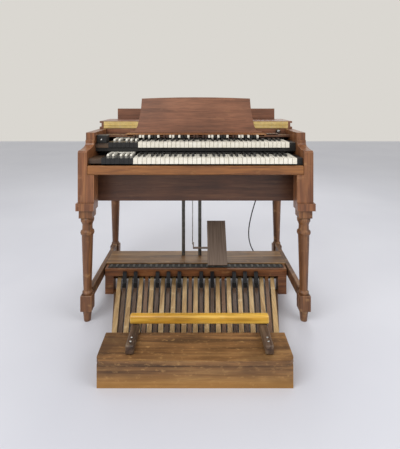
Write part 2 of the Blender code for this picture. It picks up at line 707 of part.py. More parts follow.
def drawbar_lefts():
    """X of the first bar of each group, the whole row centred on the case."""
    bars = sum(DRAWBAR_GROUPS)
    groups = len(DRAWBAR_GROUPS)
    width = (bars - groups) * DRAWBAR_PITCH + (groups - 1) * DRAWBAR_GROUP_GAP
    x = -width / 2
    lefts = []
    for count in DRAWBAR_GROUPS:
        lefts.append(x)
        x += (count - 1) * DRAWBAR_PITCH + DRAWBAR_GROUP_GAP
    return lefts


def make_drawbars():
    """Each group is one comb: caps in front, stems under the shelf, a rail at their rear ends."""
    cap_wide, cap_long, cap_high = DRAWBAR_CAP
    stem_wide, stem_high = DRAWBAR_STEM
    cap_back = DECK_FRONT - 0.0015
    stem_top = STEM_BOTTOM + stem_high
    cap_low = stem_top + 0.0025 - cap_high
    rear = cap_back + DRAWBAR_LENGTH
    for number, (left, count) in enumerate(zip(drawbar_lefts(), DRAWBAR_GROUPS), 1):
        bm = bmesh.new()
        for i in range(count):
            x = left + i * DRAWBAR_PITCH
            half = cap_wide / 2
            thin = stem_wide / 2
            front = cap_back - cap_long
            # Plan of cap and stem in one outline, lifted to the cap's height in front.
            cap = [(front, cap_low), (front, cap_low + cap_high), (cap_back, cap_low + cap_high), (cap_back, cap_low)]
            add_prism_x(bm, cap, x - half, x + half)
        caps = link_mesh("drawbar_caps_" + str(number), bm)
        bm = bmesh.new()
        for i in range(count):
            x = left + i * DRAWBAR_PITCH
            stem = [(cap_back - 0.004, STEM_BOTTOM), (cap_back - 0.004, stem_top), (rear - 0.004, stem_top),
                    (rear - 0.004, STEM_BOTTOM)]
            add_prism_x(bm, stem, x - stem_wide / 2, x + stem_wide / 2)
        stems = link_mesh("drawbar_stems_" + str(number), bm)
        right = left + (count - 1) * DRAWBAR_PITCH
        rail = box("drawbars_" + str(number), (left - stem_wide / 2, rear - 0.010, STEM_BOTTOM),
                   (right + stem_wide / 2, rear, stem_top), "black plastic")
        combine(rail, stems)
        combine(rail, caps)


def make_controls():
    wide, long, high = TAB_SIZE
    pitch = TAB_PITCH
    low = DECK_END_TOP + GAP
    bar_low = low
    axis_z = bar_low + TAB_PIVOT_RADIUS
    # Rocker tabs: wedges on a common bar that lies on the deck's raised end.
    for name, centre in (("percussion_tabs", TAB_CENTRE_X),):
        bm = bmesh.new()
        span = (TAB_COUNT - 1) * pitch
        for i in range(TAB_COUNT):
            x = centre - span / 2 + i * pitch
            d = DECK_FRONT + 0.006
            profile = [(d, low + 0.004), (d, low + 0.007), (d + long / 2, low + high), (d + long, low + 0.007),
                       (d + long, low + 0.004), (d + long / 2, low + 0.002)]
            add_prism_x(bm, profile, x - wide / 2, x + wide / 2)
        tabs = link_mesh(name + "_caps", bm)
        middle = DECK_FRONT + 0.006 + long / 2
        r = TAB_PIVOT_RADIUS
        bar = turned(name, [(r, 0.0), (r, span + wide)], (centre - span / 2 - wide / 2, at(middle), axis_z), 8,
                     "brown plastic", "X")
        combine(bar, tabs)
        put_origin(bar, (0.0, middle, axis_z))
    face = FASCIA_FRONT - GAP
    knob = turned("rotary_knob", [(KNOB_RADIUS * 0.8, -KNOB_LENGTH), (KNOB_RADIUS * 0.9, -KNOB_LENGTH + 0.003),
                  (KNOB_RADIUS, -0.004), (KNOB_RADIUS, 0.0)], (KNOB_X, at(face), KNOB_Z), 16,
                  "black plastic", "Y")
    put_origin(knob, (KNOB_X, face, KNOB_Z))
    box_wide, box_long, box_high = SWITCH_BOX
    left = -INNER_X + GAP
    low = UPPER_KEY_TOP - LEFT_BLOCK_DROP + GAP
    switch = box("switch_box", (left, SWITCH_BOX_FRONT, low), (left + box_wide, SWITCH_BOX_FRONT + box_long,
                 low + box_high), "black paint")
    soften(switch, 0.002)
    middle = (left + box_wide / 2, SWITCH_BOX_FRONT - 2 * GAP, low + box_high * 0.45)
    lever = turned("run_lever", [(LEVER_RADIUS * 1.6, 0.0), (LEVER_RADIUS * 1.6, -0.003), (LEVER_RADIUS * 0.8, -0.004),
                   (LEVER_RADIUS, -LEVER_LENGTH)], (middle[0], at(middle[1]), middle[2]), 10, "steel", "Y")
    put_origin(lever, middle)


def make_hinge_leaf(name, sign, segments, with_pin):
    """Leaf of the piano hinge; sign is +1 above the axis and -1 below it."""
    front = LID_AXIS_DEPTH + HINGE_BORE - GAP
    back = front + HINGE_LEAF_THICK
    near = LID_AXIS_Z + sign * (HINGE_KNUCKLE + 2 * GAP)
    far = near + sign * HINGE_LEAF_HEIGHT
    half = HINGE_LENGTH / 2
    leaf = box(name, (-half, front, min(near, far)), (half, back, max(near, far)), "brass")
    step = HINGE_LENGTH / HINGE_SEGMENTS
    for k in segments:
        x0 = -half + k * step + HINGE_SPLIT / 2
        x1 = -half + (k + 1) * step - HINGE_SPLIT / 2
        tab = box(name + "_tab_" + str(k), (x0, front, min(near + sign * GAP, LID_AXIS_Z + sign * HINGE_BORE)),
                  (x1, back, max(near + sign * GAP, LID_AXIS_Z + sign * HINGE_BORE)))
        knuckle = turned(name + "_knuckle_" + str(k), [(HINGE_KNUCKLE, x0), (HINGE_KNUCKLE, x1)],
                         (0.0, at(LID_AXIS_DEPTH), LID_AXIS_Z), 10, None, "X")
        combine(leaf, knuckle)
        combine(leaf, tab)
    if with_pin:
        pin = turned(name + "_pin", [(HINGE_PIN, -half + GAP), (HINGE_PIN, half - GAP)],
                     (0.0, at(LID_AXIS_DEPTH), LID_AXIS_Z), 8, None, "X")
        combine(leaf, pin)
    else:
        bore = turned(name + "_bore", [(HINGE_BORE + HINGE_PIN / 3, -half - 0.01), (HINGE_BORE + HINGE_PIN / 3, half + 0.01)],
                      (0.0, at(LID_AXIS_DEPTH), LID_AXIS_Z), 8, None, "X")
        combine(leaf, bore, "DIFFERENCE")
    return leaf


def make_lid():
    """Lid folded back on the fixed top, its front strip standing up behind."""
    axis = (0.0, LID_AXIS_DEPTH, LID_AXIS_Z)
    low = LID_AXIS_Z + GAP
    back = TOP_FRONT + LID_PANEL_DEPTH
    panel = box("lid_panel", (-HALF_CASE + TOP_STEP, TOP_FRONT, low), (HALF_CASE - TOP_STEP, back,
                low + TOP_THICK - GAP), "walnut")
    lip = box("lid_panel_lip", (-HALF_CASE, TOP_FRONT + GAP, low + TOP_THICK / 2), (HALF_CASE, back + GAP,
              low + TOP_THICK - GAP))
    combine(panel, lip)
    put_origin(panel, axis)
    half = INNER_X - LID_STRIP_SIDE_CLEAR
    foot = low + TOP_THICK
    strip = box("lid_strip", (-half, back - LID_STRIP_THICK, foot), (half, back, foot + LID_STRIP_HEIGHT),
                "walnut")
    put_origin(strip, axis)
    make_hinge_leaf("hinge_leaf_case", -1, (0, 2, 4), True)
    leaf = make_hinge_leaf("hinge_leaf_lid", 1, (1, 3), False)
    return leaf


def make_desk():
    """Music desk leaning back from its foot, with the book ledge along the foot."""
    lean = math.radians(DESK_LEAN)
    ledge_wide, ledge_deep, ledge_high = DESK_LEDGE
    face = DESK_FOOT_DEPTH + ledge_deep
    half_foot = DESK_FOOT_WIDTH / 2
    half_waist = DESK_WAIST_WIDTH / 2
    half_top = DESK_TOP_WIDTH / 2
    side_top = DESK_HEIGHT - DESK_ARCH
    outline = [(-half_foot, 0.0), (half_foot, 0.0), (half_foot - 0.020, DESK_WAIST * 0.28),
               (half_waist + 0.004, DESK_WAIST * 0.80), (half_waist, DESK_WAIST), (half_top, side_top)]
    for i in range(1, 6):
        x = half_top * (1 - 2 * i / 6)
        outline.append((x, side_top + DESK_ARCH * (1 - (x / half_top) ** 2)))
    outline += [(-half_top, side_top), (-half_waist, DESK_WAIST), (-half_waist - 0.004, DESK_WAIST * 0.80),
                (-half_foot + 0.020, DESK_WAIST * 0.28)]
    bm = bmesh.new()
    low = DESK_AXIS_Z
    def leaned(x, up, out):
        d = face + out * math.cos(lean) + up * math.sin(lean)
        z = low + up * math.cos(lean) - out * math.sin(lean)
        return (x, at(d), max(z, low))
    add_hull(bm, [leaned(x, up, 0.0) for x, up in outline], [leaned(x, up, DESK_THICK) for x, up in outline])
    board = link_mesh("music_desk", bm, "walnut")
    profile = [(DESK_FOOT_DEPTH, low), (DESK_FOOT_DEPTH + ledge_high * math.tan(lean), low + ledge_high),
               (face + ledge_high * math.tan(lean) + 0.002, low + ledge_high), (face + 0.002, low)]
    ledge = prism_x("music_desk_ledge", profile, -ledge_wide / 2, ledge_wide / 2)
    combine(board, ledge)
    put_origin(board, (0.0, DESK_FOOT_DEPTH, low))
    return board


def make_housing():
    """Pedal switch housing between the side stretchers, and the two tubes up to the case."""
    x = STRETCHER_X - STRETCHER_THICK / 2 - GAP
    wall = HOUSING_WALL
    profile = [(HOUSING_FRONT, HOUSING_BOTTOM), (HOUSING_FRONT, HOUSING_TOP), (HOUSING_BACK, HOUSING_TOP),
               (HOUSING_BACK, HOUSING_BOTTOM), (HOUSING_BACK - wall, HOUSING_BOTTOM),
               (HOUSING_BACK - wall, HOUSING_TOP - wall), (HOUSING_FRONT + wall, HOUSING_TOP - wall),
               (HOUSING_FRONT + wall, HOUSING_BOTTOM)]
    prism_x("pedal_switch_housing", profile, -x, x, "dark walnut")
    for tag, tube_x in zip(("left", "right"), TUBE_X):
        turned("conduit_tube_" + tag, [(TUBE_RADIUS, HOUSING_TOP + GAP), (TUBE_RADIUS, CASE_FLOOR_BOTTOM - GAP)],
               (tube_x, at(TUBE_DEPTH), 0.0), 14, "grey metal")


def make_swell():
    """Expression pedal on its bracket; its shaft carries the crank that lifts the rod."""
    tilt = math.radians(SWELL_TILT)
    along = (math.cos(tilt), math.sin(tilt))
    under = (math.sin(tilt), -math.cos(tilt))
    def place(run, drop):
        return (SWELL_PIVOT_DEPTH + (run - SWELL_PIVOT_ALONG) * along[0] + (drop - SWELL_PIVOT_OFFSET) * under[0],
                SWELL_PIVOT_Z + (run - SWELL_PIVOT_ALONG) * along[1] + (drop - SWELL_PIVOT_OFFSET) * under[1])
    half = SWELL_WIDTH / 2
    plate = [place(0, 0), place(0, -SWELL_THICK), place(SWELL_LENGTH, -SWELL_THICK), place(SWELL_LENGTH, 0)]
    pedal = prism_x("expression_pedal", plate, SWELL_X - half, SWELL_X + half, "grey metal")
    centre = (SWELL_PIVOT_DEPTH, SWELL_PIVOT_Z)
    hub = SWELL_SHAFT + 0.004
    lug = [place(SWELL_PIVOT_ALONG - hub, -GAP), place(SWELL_PIVOT_ALONG + hub, -GAP)]
    lug += [place(SWELL_PIVOT_ALONG + hub, SWELL_PIVOT_OFFSET + hub), place(SWELL_PIVOT_ALONG - hub,
            SWELL_PIVOT_OFFSET + hub)]
    lug_half = half * 0.35
    combine(pedal, prism_x("expression_pedal_lug", lug, SWELL_X - lug_half, SWELL_X + lug_half))
    ear_out = lug_half + SWELL_EAR_CLEAR + SWELL_EAR
    shaft = turned("expression_pedal_shaft", [(SWELL_SHAFT, CRANK_X - CRANK_THICK / 2),
                   (SWELL_SHAFT, SWELL_X + ear_out + 0.004)], (0.0, at(centre[0]), centre[1]), 12, None, "X")
    combine(pedal, shaft)
    # Crank arm to the rear, a little above level, with the pin that the rod's eye hangs on.
    rise = math.radians(CRANK_RISE)
    eye_depth = centre[0] + CRANK_REACH * math.cos(rise)
    eye_z = centre[1] + CRANK_REACH * math.sin(rise)
    half_arm = SWELL_SHAFT - 4 * GAP
    arm = [(centre[0], centre[1] - half_arm), (eye_depth, eye_z - half_arm), (eye_depth + half_arm, eye_z),
           (eye_depth, eye_z + half_arm), (centre[0], centre[1] + half_arm)]
    combine(pedal, prism_x("expression_pedal_arm", arm, CRANK_X - CRANK_THICK / 2, CRANK_X + CRANK_THICK / 2))
    pin_end = CRANK_X - CRANK_THICK / 2 - ROD_EYE_THICK - 4 * GAP
    pin = turned("expression_pedal_pin", [(CRANK_PIN, pin_end), (CRANK_PIN, CRANK_X)],
                 (0.0, at(eye_depth), eye_z), 8, None, "X")
    combine(pedal, pin)
    put_origin(pedal, (SWELL_X, centre[0], centre[1]))
    # Rod: a flat eye beside the crank and a thin rod up into the case floor.
    eye_x = CRANK_X - CRANK_THICK / 2 - GAP - ROD_EYE_THICK
    eye = turned("swell_rod_eye", [(ROD_EYE, eye_x), (ROD_EYE, eye_x + ROD_EYE_THICK - GAP)],
                 (0.0, at(eye_depth), eye_z), 14, None, "X")
    rod = turned("swell_rod", [(ROD_RADIUS, eye_z + ROD_EYE_BORE + 0.001),
                 (ROD_RADIUS, CASE_FLOOR_BOTTOM - ROD_TOP_CLEAR)],
                 (eye_x + ROD_EYE_THICK / 2, at(eye_depth), 0.0), 10, "steel")
    hole = turned("swell_rod_hole", [(ROD_EYE_BORE, eye_x - 0.01), (ROD_EYE_BORE, eye_x + 0.02)],
                  (0.0, at(eye_depth), eye_z), 12, None, "X")
    combine(rod, eye)
    combine(rod, hole, "DIFFERENCE")
    # Bracket: a foot on the housing and an ear each side of the pedal's lug.
    foot = box("swell_bracket", (SWELL_X - ear_out, centre[0] - 0.030, HOUSING_TOP + GAP),
               (SWELL_X + ear_out, centre[0] + 0.030, HOUSING_TOP + GAP + 0.006), "black paint")
    for side in (-1, 1):
        near = SWELL_X + side * (lug_half + SWELL_EAR_CLEAR)
        far = SWELL_X + side * ear_out
        r = SWELL_EAR_RADIUS
        ear_profile = [(centre[0] - 0.022, HOUSING_TOP + GAP + 0.003)]
        ear_profile += [(centre[0] + 0.022, HOUSING_TOP + GAP + 0.003)]
        ear_profile += arc(centre, r, 0, 180, 6)
        combine(foot, prism_x("swell_bracket_ear_" + str(side), ear_profile, min(near, far), max(near, far)))
    bore = SWELL_SHAFT + SWELL_BORE_CLEAR
    combine(foot, turned("swell_bracket_bore", [(bore, SWELL_X - ear_out - 0.01), (bore, SWELL_X + ear_out + 0.01)],
            (0.0, at(centre[0]), centre[1]), 12, None, "X"), "DIFFERENCE")


def pedal_x(index, d):
    """Centre of a pedal position (whole for naturals, halves between them) at a depth."""
    k = index - (PEDAL_NATURALS - 1) / 2
    half_count = (PEDAL_NATURALS - 1) / 2
    return k * PEDAL_PITCH_TOE + (k / half_count) * PEDAL_FAN * (d - PEDAL_TOE_REF)


def add_bar(bm, index, toe, heel, width, top_drop, height):
    """Tapering bar along a pedal's line; its top falls from toe to heel."""
    slope = (PEDAL_TOE_TOP - PEDAL_HEEL_TOP) / (PEDAL_TOE - PEDAL_HEEL)
    lower = []
    upper = []
    for d, side in ((heel, -1), (heel, 1), (toe, 1), (toe, -1)):
        x = pedal_x(index, d) + side * width / 2
        top = PEDAL_HEEL_TOP + slope * (d - PEDAL_HEEL) - top_drop
        lower.append((x, at(d), top - height))
        upper.append((x, at(d), top))
    add_hull(bm, lower, upper)


def has_sharp(index):
    """Whether a sharp lies between a natural pedal and the next; the board starts on C."""
    return index % 7 in SHARP_PATTERN


def make_pedals():
    bm = bmesh.new()
    for i in range(PEDAL_NATURALS):
        add_bar(bm, i, PEDAL_TOE, PEDAL_HEEL + 0.006, PEDAL_WIDTH, 0.0, PEDAL_BAR)
    bars = link_mesh("pedal_natural_bars", bm)
    end = pedal_x(PEDAL_NATURALS - 1, PEDAL_HEEL)
    low = PEDAL_HEEL_TOP - PEDAL_BAR
    naturals = box("pedal_naturals", (-end, PEDAL_HEEL, low), (end, PEDAL_HEEL + RAIL_DEPTH, low + 0.020), "maple")
    combine(naturals, bars)
    put_origin(naturals, (0.0, PEDAL_HEEL + RAIL_DEPTH / 2, low))
    bm = bmesh.new()
    cap_bm = bmesh.new()
    foot_bm = bmesh.new()
    rail_low = PIVOT_BOARD_TOP + 2 * GAP + SHARP_KNIFE
    rail_top = rail_low + SHARP_RAIL_HEIGHT
    sharps = [i for i in range(PEDAL_NATURALS - 1) if has_sharp(i)]
    for i in sharps:
        add_bar(bm, i + 0.5, PEDAL_TOE, SHARP_BAR_HEEL, SHARP_BAR_WIDTH, SHARP_BAR_DROP, PEDAL_BAR)
        lower = []
        upper = []
        for d, side, top in ((CAP_FRONT, -1, CAP_TOP_FRONT), (CAP_FRONT, 1, CAP_TOP_FRONT), (CAP_BACK, 1, CAP_TOP_BACK),
                             (CAP_BACK, -1, CAP_TOP_BACK)):
            x = pedal_x(i + 0.5, d) + side * CAP_WIDTH / 2
            lower.append((x, at(d), PEDAL_HEEL_TOP - SHARP_BAR_DROP))
            upper.append((x, at(d), top))
        add_hull(cap_bm, lower, upper)
        x = pedal_x(i + 0.5, SHARP_BAR_HEEL)
        half = SHARP_BAR_WIDTH / 2 - GAP
        add_box(foot_bm, (x - half, at(SHARP_BAR_HEEL + GAP), rail_low + 0.002),
                (x + half, at(SHARP_BAR_HEEL + RAIL_DEPTH), PEDAL_HEEL_TOP - PEDAL_BAR))
    end = pedal_x(sharps[-1] + 0.5, SHARP_BAR_HEEL) + SHARP_BAR_WIDTH / 2
    first = pedal_x(sharps[0] + 0.5, SHARP_BAR_HEEL) - SHARP_BAR_WIDTH / 2
    comb = box("pedal_sharps", (first, SHARP_BAR_HEEL, rail_low), (end, SHARP_BAR_HEEL + RAIL_DEPTH + GAP,
               rail_top), "black paint")
    for tool in (link_mesh("pedal_sharp_feet", foot_bm), link_mesh("pedal_sharp_bars", bm),
                 link_mesh("pedal_sharp_caps", cap_bm)):
        combine(comb, tool)
    put_origin(comb, (0.0, SHARP_BAR_HEEL + RAIL_DEPTH / 2, rail_low))


def make_pedalboard():
    """Fixed frame of the pedalboard: toe rail, base blocks, runners, fillers and pivot board."""
    half = TOE_RAIL_WIDTH / 2
    back = HOUSING_FRONT - GAP
    frame = box("pedalboard_frame", (-half, TOE_RAIL_FRONT, TOE_RAIL_BOTTOM), (half, back, TOE_RAIL_TOP),
                "orange walnut")
    for tag, sign in (("left", -1), ("right", 1)):
        outer = sign * (half - GAP)
        inner = sign * (half - BASE_BLOCK_WIDTH)
        block = box("base_block_" + tag, (min(outer, inner), TOE_RAIL_FRONT + 0.004, 0.0),
                    (max(outer, inner), back - GAP, TOE_RAIL_BOTTOM + GAP))
        combine(frame, block)
        # Runner under the outermost pedal, from the base block to the pivot board.
        bm = bmesh.new()
        toe = TOE_RAIL_FRONT + 0.006
        points = []
        for d, side in ((PIVOT_BOARD_BACK - 0.005, -1), (PIVOT_BOARD_BACK - 0.005, 1), (toe + 0.020, 1), (toe + 0.020, -1)):
            last = (PEDAL_NATURALS - 1) if sign > 0 else 0
            shift = RUNNER_WIDTH / 2 + (RUNNER_WIDTH if d > 0 and side == sign else 0.0)
            points.append((pedal_x(last, d) + side * shift, d))
        add_prism_z(bm, points, 0.0, RUNNER_TOP)
        combine(frame, link_mesh("runner_" + tag, bm))
    x = HEEL_BOX_WIDTH / 2 - HEEL_BOX_WALL - GAP
    low = 0.004
    board = box("pivot_board", (-x, HEEL_BOX_FRONT + HEEL_BOX_WALL + GAP, low), (x, PIVOT_BOARD_BACK, PIVOT_BOARD_TOP))
    combine(frame, board)
    knife = PEDAL_HEEL + RAIL_DEPTH / 2
    knife_top = PEDAL_HEEL_TOP - PEDAL_BAR - GAP
    end = pedal_x(PEDAL_NATURALS - 1, PEDAL_HEEL)
    combine(frame, box("natural_knife", (-end, knife - 0.003, PIVOT_BOARD_TOP - 0.002), (end, knife + 0.003, knife_top)))
    knife = SHARP_BAR_HEEL + RAIL_DEPTH / 2
    knife_top = PIVOT_BOARD_TOP + GAP + SHARP_KNIFE
    combine(frame, box("sharp_knife", (-end, knife - 0.002, PIVOT_BOARD_TOP - 0.002), (end, knife + 0.002, knife_top)))
    bm = bmesh.new()
    feet = bmesh.new()
    for i in range(PEDAL_NATURALS - 1):
        if has_sharp(i):
            continue
        add_bar(bm, i + 0.5, TOE_RAIL_FRONT + 0.020, FILLER_HEEL, SHARP_BAR_WIDTH, SHARP_BAR_DROP, PEDAL_BAR)
        for d, low, top in ((FILLER_HEEL, PIVOT_BOARD_TOP - 0.006, PEDAL_HEEL_TOP - PEDAL_BAR),
                            (TOE_RAIL_FRONT + 0.006, PEDAL_HEEL_TOP, TOE_RAIL_BOTTOM + 0.003)):
            x = pedal_x(i + 0.5, d)
            half = SHARP_BAR_WIDTH / 2 - GAP
            add_box(feet, (x - half, at(d + GAP), low), (x + half, at(d + 0.012), top))
    combine(frame, link_mesh("filler_bars", bm))
    combine(frame, link_mesh("filler_feet", feet))


def make_heel_box():
    half = HEEL_BOX_WIDTH / 2
    wall = HEEL_BOX_WALL
    outline = [(-half, HEEL_BOX_FRONT), (half, HEEL_BOX_FRONT), (half, HEEL_BOX_BACK), (half - wall, HEEL_BOX_BACK),
               (half - wall, HEEL_BOX_FRONT + wall), (-half + wall, HEEL_BOX_FRONT + wall),
               (-half + wall, HEEL_BOX_BACK), (-half, HEEL_BOX_BACK)]
    prism_z("heel_box", outline, 0.0, HEEL_BOX_HEIGHT, "worn walnut")
    half = HEEL_TOP_WIDTH / 2
    r = HEEL_TOP_CORNER
    front = -HEEL_REACH
    outline = arc((-half + r, front + r), r, 180, 270, 5) + arc((half - r, front + r), r, 270, 360, 5)
    outline += [(half, HEEL_TOP_BACK), (-half, HEEL_TOP_BACK)]
    prism_z("heel_box_top", outline, HEEL_BOX_HEIGHT + GAP, HEEL_TOP_Z, "worn walnut")
    top = HEEL_TOP_Z + GAP + BRACKET_HEIGHT
    for tag, x in zip(("left", "right"), BRACKET_X):
        half = BRACKET_WIDTH / 2
        bracket = box("rail_bracket_" + tag, (x - half, BRACKET_FRONT, HEEL_TOP_Z + GAP),
                      (x + half, RAIL_FRONT + RAIL_SIZE[0], top), "dark walnut")
        soften(bracket, 0.004)
    low = top + GAP
    rail = box("foot_rail", (RAIL_X[0], RAIL_FRONT, low), (RAIL_X[1], RAIL_FRONT + RAIL_SIZE[0],
               low + RAIL_SIZE[1]), "yellow varnish")
    soften(rail, 0.009, 3)


def make_inside():
    low = CASE_FLOOR_TOP + GAP
    high = low + GENERATOR_HEIGHT
    generator = box("tone_generator", (GENERATOR_X[0], GENERATOR_DEPTH[0], low), (GENERATOR_X[1], GENERATOR_DEPTH[1], high),
        "grey metal")
    middle = sum(GENERATOR_DEPTH) / 2
    motor = turned("run_motor", [(MOTOR_RADIUS, -GAP), (MOTOR_RADIUS, MOTOR_LENGTH)],
                   (GENERATOR_X[1], at(middle), low + GENERATOR_HEIGHT / 2), 16, None, "X")
    combine(generator, motor)


def cord_route():
    """Points of the free stretch, chosen by hand: down from the gland, then along the floor."""
    r = CORD_DIAMETER / 2
    x, d = CORD_EXIT
    top = CASE_FLOOR_BOTTOM - GAP - GLAND_LENGTH - GAP
    points = [(x, d, top), (x, d, top - 0.020), (x - 0.004, d, 0.520), (x - 0.020, d, 0.460), (x - 0.042, d, 0.385),
              (x - 0.060, d, 0.300), (x - 0.064, d, 0.230), (x - 0.052, d, 0.165), (x - 0.022, d, 0.105),
              (x + 0.016, d, 0.052), (x + 0.050, d + 0.004, 0.018), (x + 0.076, d + 0.016, r + 0.002),
              (x + 0.092, d + 0.040, r), (x + 0.086, d + 0.072, r), (x + 0.058, d + 0.092, r),
              (x + 0.022, d + 0.090, r)]
    start = coil_point(0.0)
    points += [(start[0] + 0.030, start[1] + 0.001, r), (start[0] + CORD_DIAMETER, start[1], r),
               (start[0] + GAP, start[1], r)]
    return points


def smooth(points, step):
    """Centripetal spline through the points, read at a steady step."""
    line = [Vector(p) for p in points]
    line = [2 * line[0] - line[1]] + line + [2 * line[-1] - line[-2]]
    fine = []
    for a, b, c, e in zip(line, line[1:], line[2:], line[3:]):
        for k in range(12):
            t = k / 12
            fine.append(0.5 * (2 * b + (c - a) * t + (2 * a - 5 * b + 4 * c - e) * t * t
                               + (3 * b - a - 3 * c + e) * t ** 3))
    fine.append(line[-2])
    length = sum((q - p).length for p, q in zip(fine, fine[1:]))
    count = max(2, round(length / step))
    result = [fine[0]]
    run = 0.0
    target = length / count
    for p, q in zip(fine, fine[1:]):
        piece = (q - p).length
        while run + piece >= target * len(result) and len(result) < count:
            result.append(p.lerp(q, (target * len(result) - run) / piece))
        run += piece
    result.append(fine[-1])
    return result, length


def coil_point(turn):
    """Centre line of the coil: in along the floor, up a layer, and out again on top."""
    r = CORD_DIAMETER / 2
    total = 2 * COIL_TURNS + 0.5
    inward = min(turn, COIL_TURNS)
    outward = max(turn - COIL_TURNS - 0.5, 0.0)
    radius = COIL_OUTER - COIL_PITCH * inward + COIL_PITCH * outward
    climb = min(max((turn - COIL_TURNS) / 0.5, 0.0), 1.0)
    z = r + COIL_PITCH * climb
    angle = math.radians(90) + 2 * math.pi * min(turn, total)
    return (COIL_CENTRE[0] + radius * math.cos(angle), COIL_CENTRE[1] + radius * math.sin(angle), z)


def make_tube(name, points, bevel_resolution, finish):
    curve = bpy.data.curves.new(name, "CURVE")
    curve.dimensions = "3D"
    curve.bevel_depth = CORD_DIAMETER / 2
    curve.bevel_resolution = bevel_resolution
    curve.use_fill_caps = True
    spline = curve.splines.new("POLY")
    spline.points.add(len(points) - 1)
    for point, (x, d, z) in zip(spline.points, points):
        point.co = (x, at(d), z, 1.0)
    item = bpy.data.objects.new(name, curve)
    bpy.context.scene.collection.objects.link(item)
    give_finish(item, finish)
    return item


def least_gap(points, skip):
    """Least clear distance between a tube's own turns, measured between its centre points."""
    best = 1.0
    for i, p in enumerate(points):
        for q in points[i + skip:]:
            best = min(best, (Vector(p) - Vector(q)).length - CORD_DIAMETER)
    return best


def make_cord():
    x, d = CORD_EXIT
    top = CASE_FLOOR_BOTTOM - GAP
    turned("cord_gland", [(GLAND_RADIUS * 0.55, -GLAND_LENGTH), (GLAND_RADIUS * 0.7, -0.010), (GLAND_RADIUS, -0.009),
           (GLAND_RADIUS, 0.0)], (x, at(d), top), 12, "rubber")
    route, length = smooth(cord_route(), 2.4 * CORD_DIAMETER)
    make_tube("power_cord", route, 2, "rubber")
    count = round((2 * COIL_TURNS + 0.5) * LOOP_POINTS)
    loops = [coil_point(i / LOOP_POINTS) for i in range(count + 1)]
    # A tangent lead-out that carries the plug.
    last = Vector(loops[-1])
    heading = (last - Vector(loops[-2])).normalized()
    heading.z = 0.0
    end = last + heading * LEAD_OUT
    loops.append(tuple(end))
    # A short straight start, square to the cord's end.
    first = Vector(loops[0])
    loops = [tuple(first)] + [tuple(first + Vector((-CORD_DIAMETER, 0.0, 0.0)))] + loops[2:]
    coil_length = sum((Vector(q) - Vector(p)).length for p, q in zip(loops, loops[1:]))
    make_tube("cord_coil", loops, 1, "rubber")
    print("cord: free stretch", round(length, 3), "m, coil", round(coil_length, 3), "m, least gap in the coil",
          round(least_gap(loops, LOOP_POINTS // 2) * 1000, 2), "mm")
    return end, heading


def make_plug(end, heading):
    """Two-pin plug lying beside the coil, its rear face against the cord's end."""
    wide, long, high = PLUG_BODY
    side = Vector((-heading.y, heading.x, 0.0))
    bm = bmesh.new()
    start = end + heading * GAP
    def corner(run, across, z):
        point = start + heading * run + side * across
        return (point.x, at(point.y), z)
    low = end.z - high / 2
    ring = [(0.0, -0.35), (long, -0.5), (long, 0.5), (0.0, 0.35)]
    add_hull(bm, [corner(run, across * wide, low) for run, across in ring],
             [corner(run, across * wide, low + high) for run, across in ring])
    plug = link_mesh("plug", bm, "black plastic")
    pin_thick, pin_long, pin_high = PLUG_PIN
    for tag, across in (("a", -PLUG_PIN_SPACING / 2), ("b", PLUG_PIN_SPACING / 2)):
        bm = bmesh.new()
        ring = [(long - GAP, across - pin_thick / 2), (long + pin_long, across - pin_thick / 2),
                (long + pin_long, across + pin_thick / 2), (long - GAP, across + pin_thick / 2)]
        add_hull(bm, [corner(run, off, end.z - pin_high / 2) for run, off in ring],
                 [corner(run, off, end.z + pin_high / 2) for run, off in ring])
        combine(plug, link_mesh("plug_pin_" + tag, bm))


def main():
    clear_scene()
    make_case()
    make_legs()
    make_manuals()
    make_deck()
    make_drawbars()
    make_controls()
    make_lid()
    make_desk()
    make_housing()
    make_swell()
    make_pedals()
    make_pedalboard()
    make_heel_box()
    make_inside()
    make_plug(*make_cord())


main()
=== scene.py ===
import math

import bpy
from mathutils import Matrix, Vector


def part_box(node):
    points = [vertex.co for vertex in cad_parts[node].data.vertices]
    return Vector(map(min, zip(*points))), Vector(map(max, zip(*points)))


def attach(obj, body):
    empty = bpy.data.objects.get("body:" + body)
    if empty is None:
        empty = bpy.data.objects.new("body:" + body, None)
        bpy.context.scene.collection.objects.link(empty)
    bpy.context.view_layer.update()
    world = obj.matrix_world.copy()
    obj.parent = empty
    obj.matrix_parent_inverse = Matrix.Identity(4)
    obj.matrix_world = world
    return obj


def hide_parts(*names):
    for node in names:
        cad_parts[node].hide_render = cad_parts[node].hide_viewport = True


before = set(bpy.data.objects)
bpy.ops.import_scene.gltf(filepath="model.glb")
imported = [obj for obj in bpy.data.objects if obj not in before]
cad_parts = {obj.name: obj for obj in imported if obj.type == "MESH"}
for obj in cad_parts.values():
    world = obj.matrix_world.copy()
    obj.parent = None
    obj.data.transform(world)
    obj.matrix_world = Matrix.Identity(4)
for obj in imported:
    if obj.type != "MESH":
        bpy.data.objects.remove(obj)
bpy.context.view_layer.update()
bpy.ops.object.select_all(action="DESELECT")
print("frame loaded")

# The camera stands in front of the keys, level, a little to the right of the middle.
view = {"place": (0.010, -1.9925, 1.157), "lens": 28.54, "shiftX": 0.0056, "shiftY": -0.277}
cameraData = bpy.data.cameras.new("frontView")
camera = bpy.data.objects.new("frontView", cameraData)
bpy.context.scene.collection.objects.link(camera)
camera.location = view["place"]
camera.rotation_euler = (math.radians(90), 0.0, 0.0)
cameraData.lens = view["lens"]
cameraData.shift_x = view["shiftX"]
cameraData.shift_y = view["shiftY"]
bpy.context.scene.camera = camera
bpy.context.scene.view_settings.view_transform = "Standard"


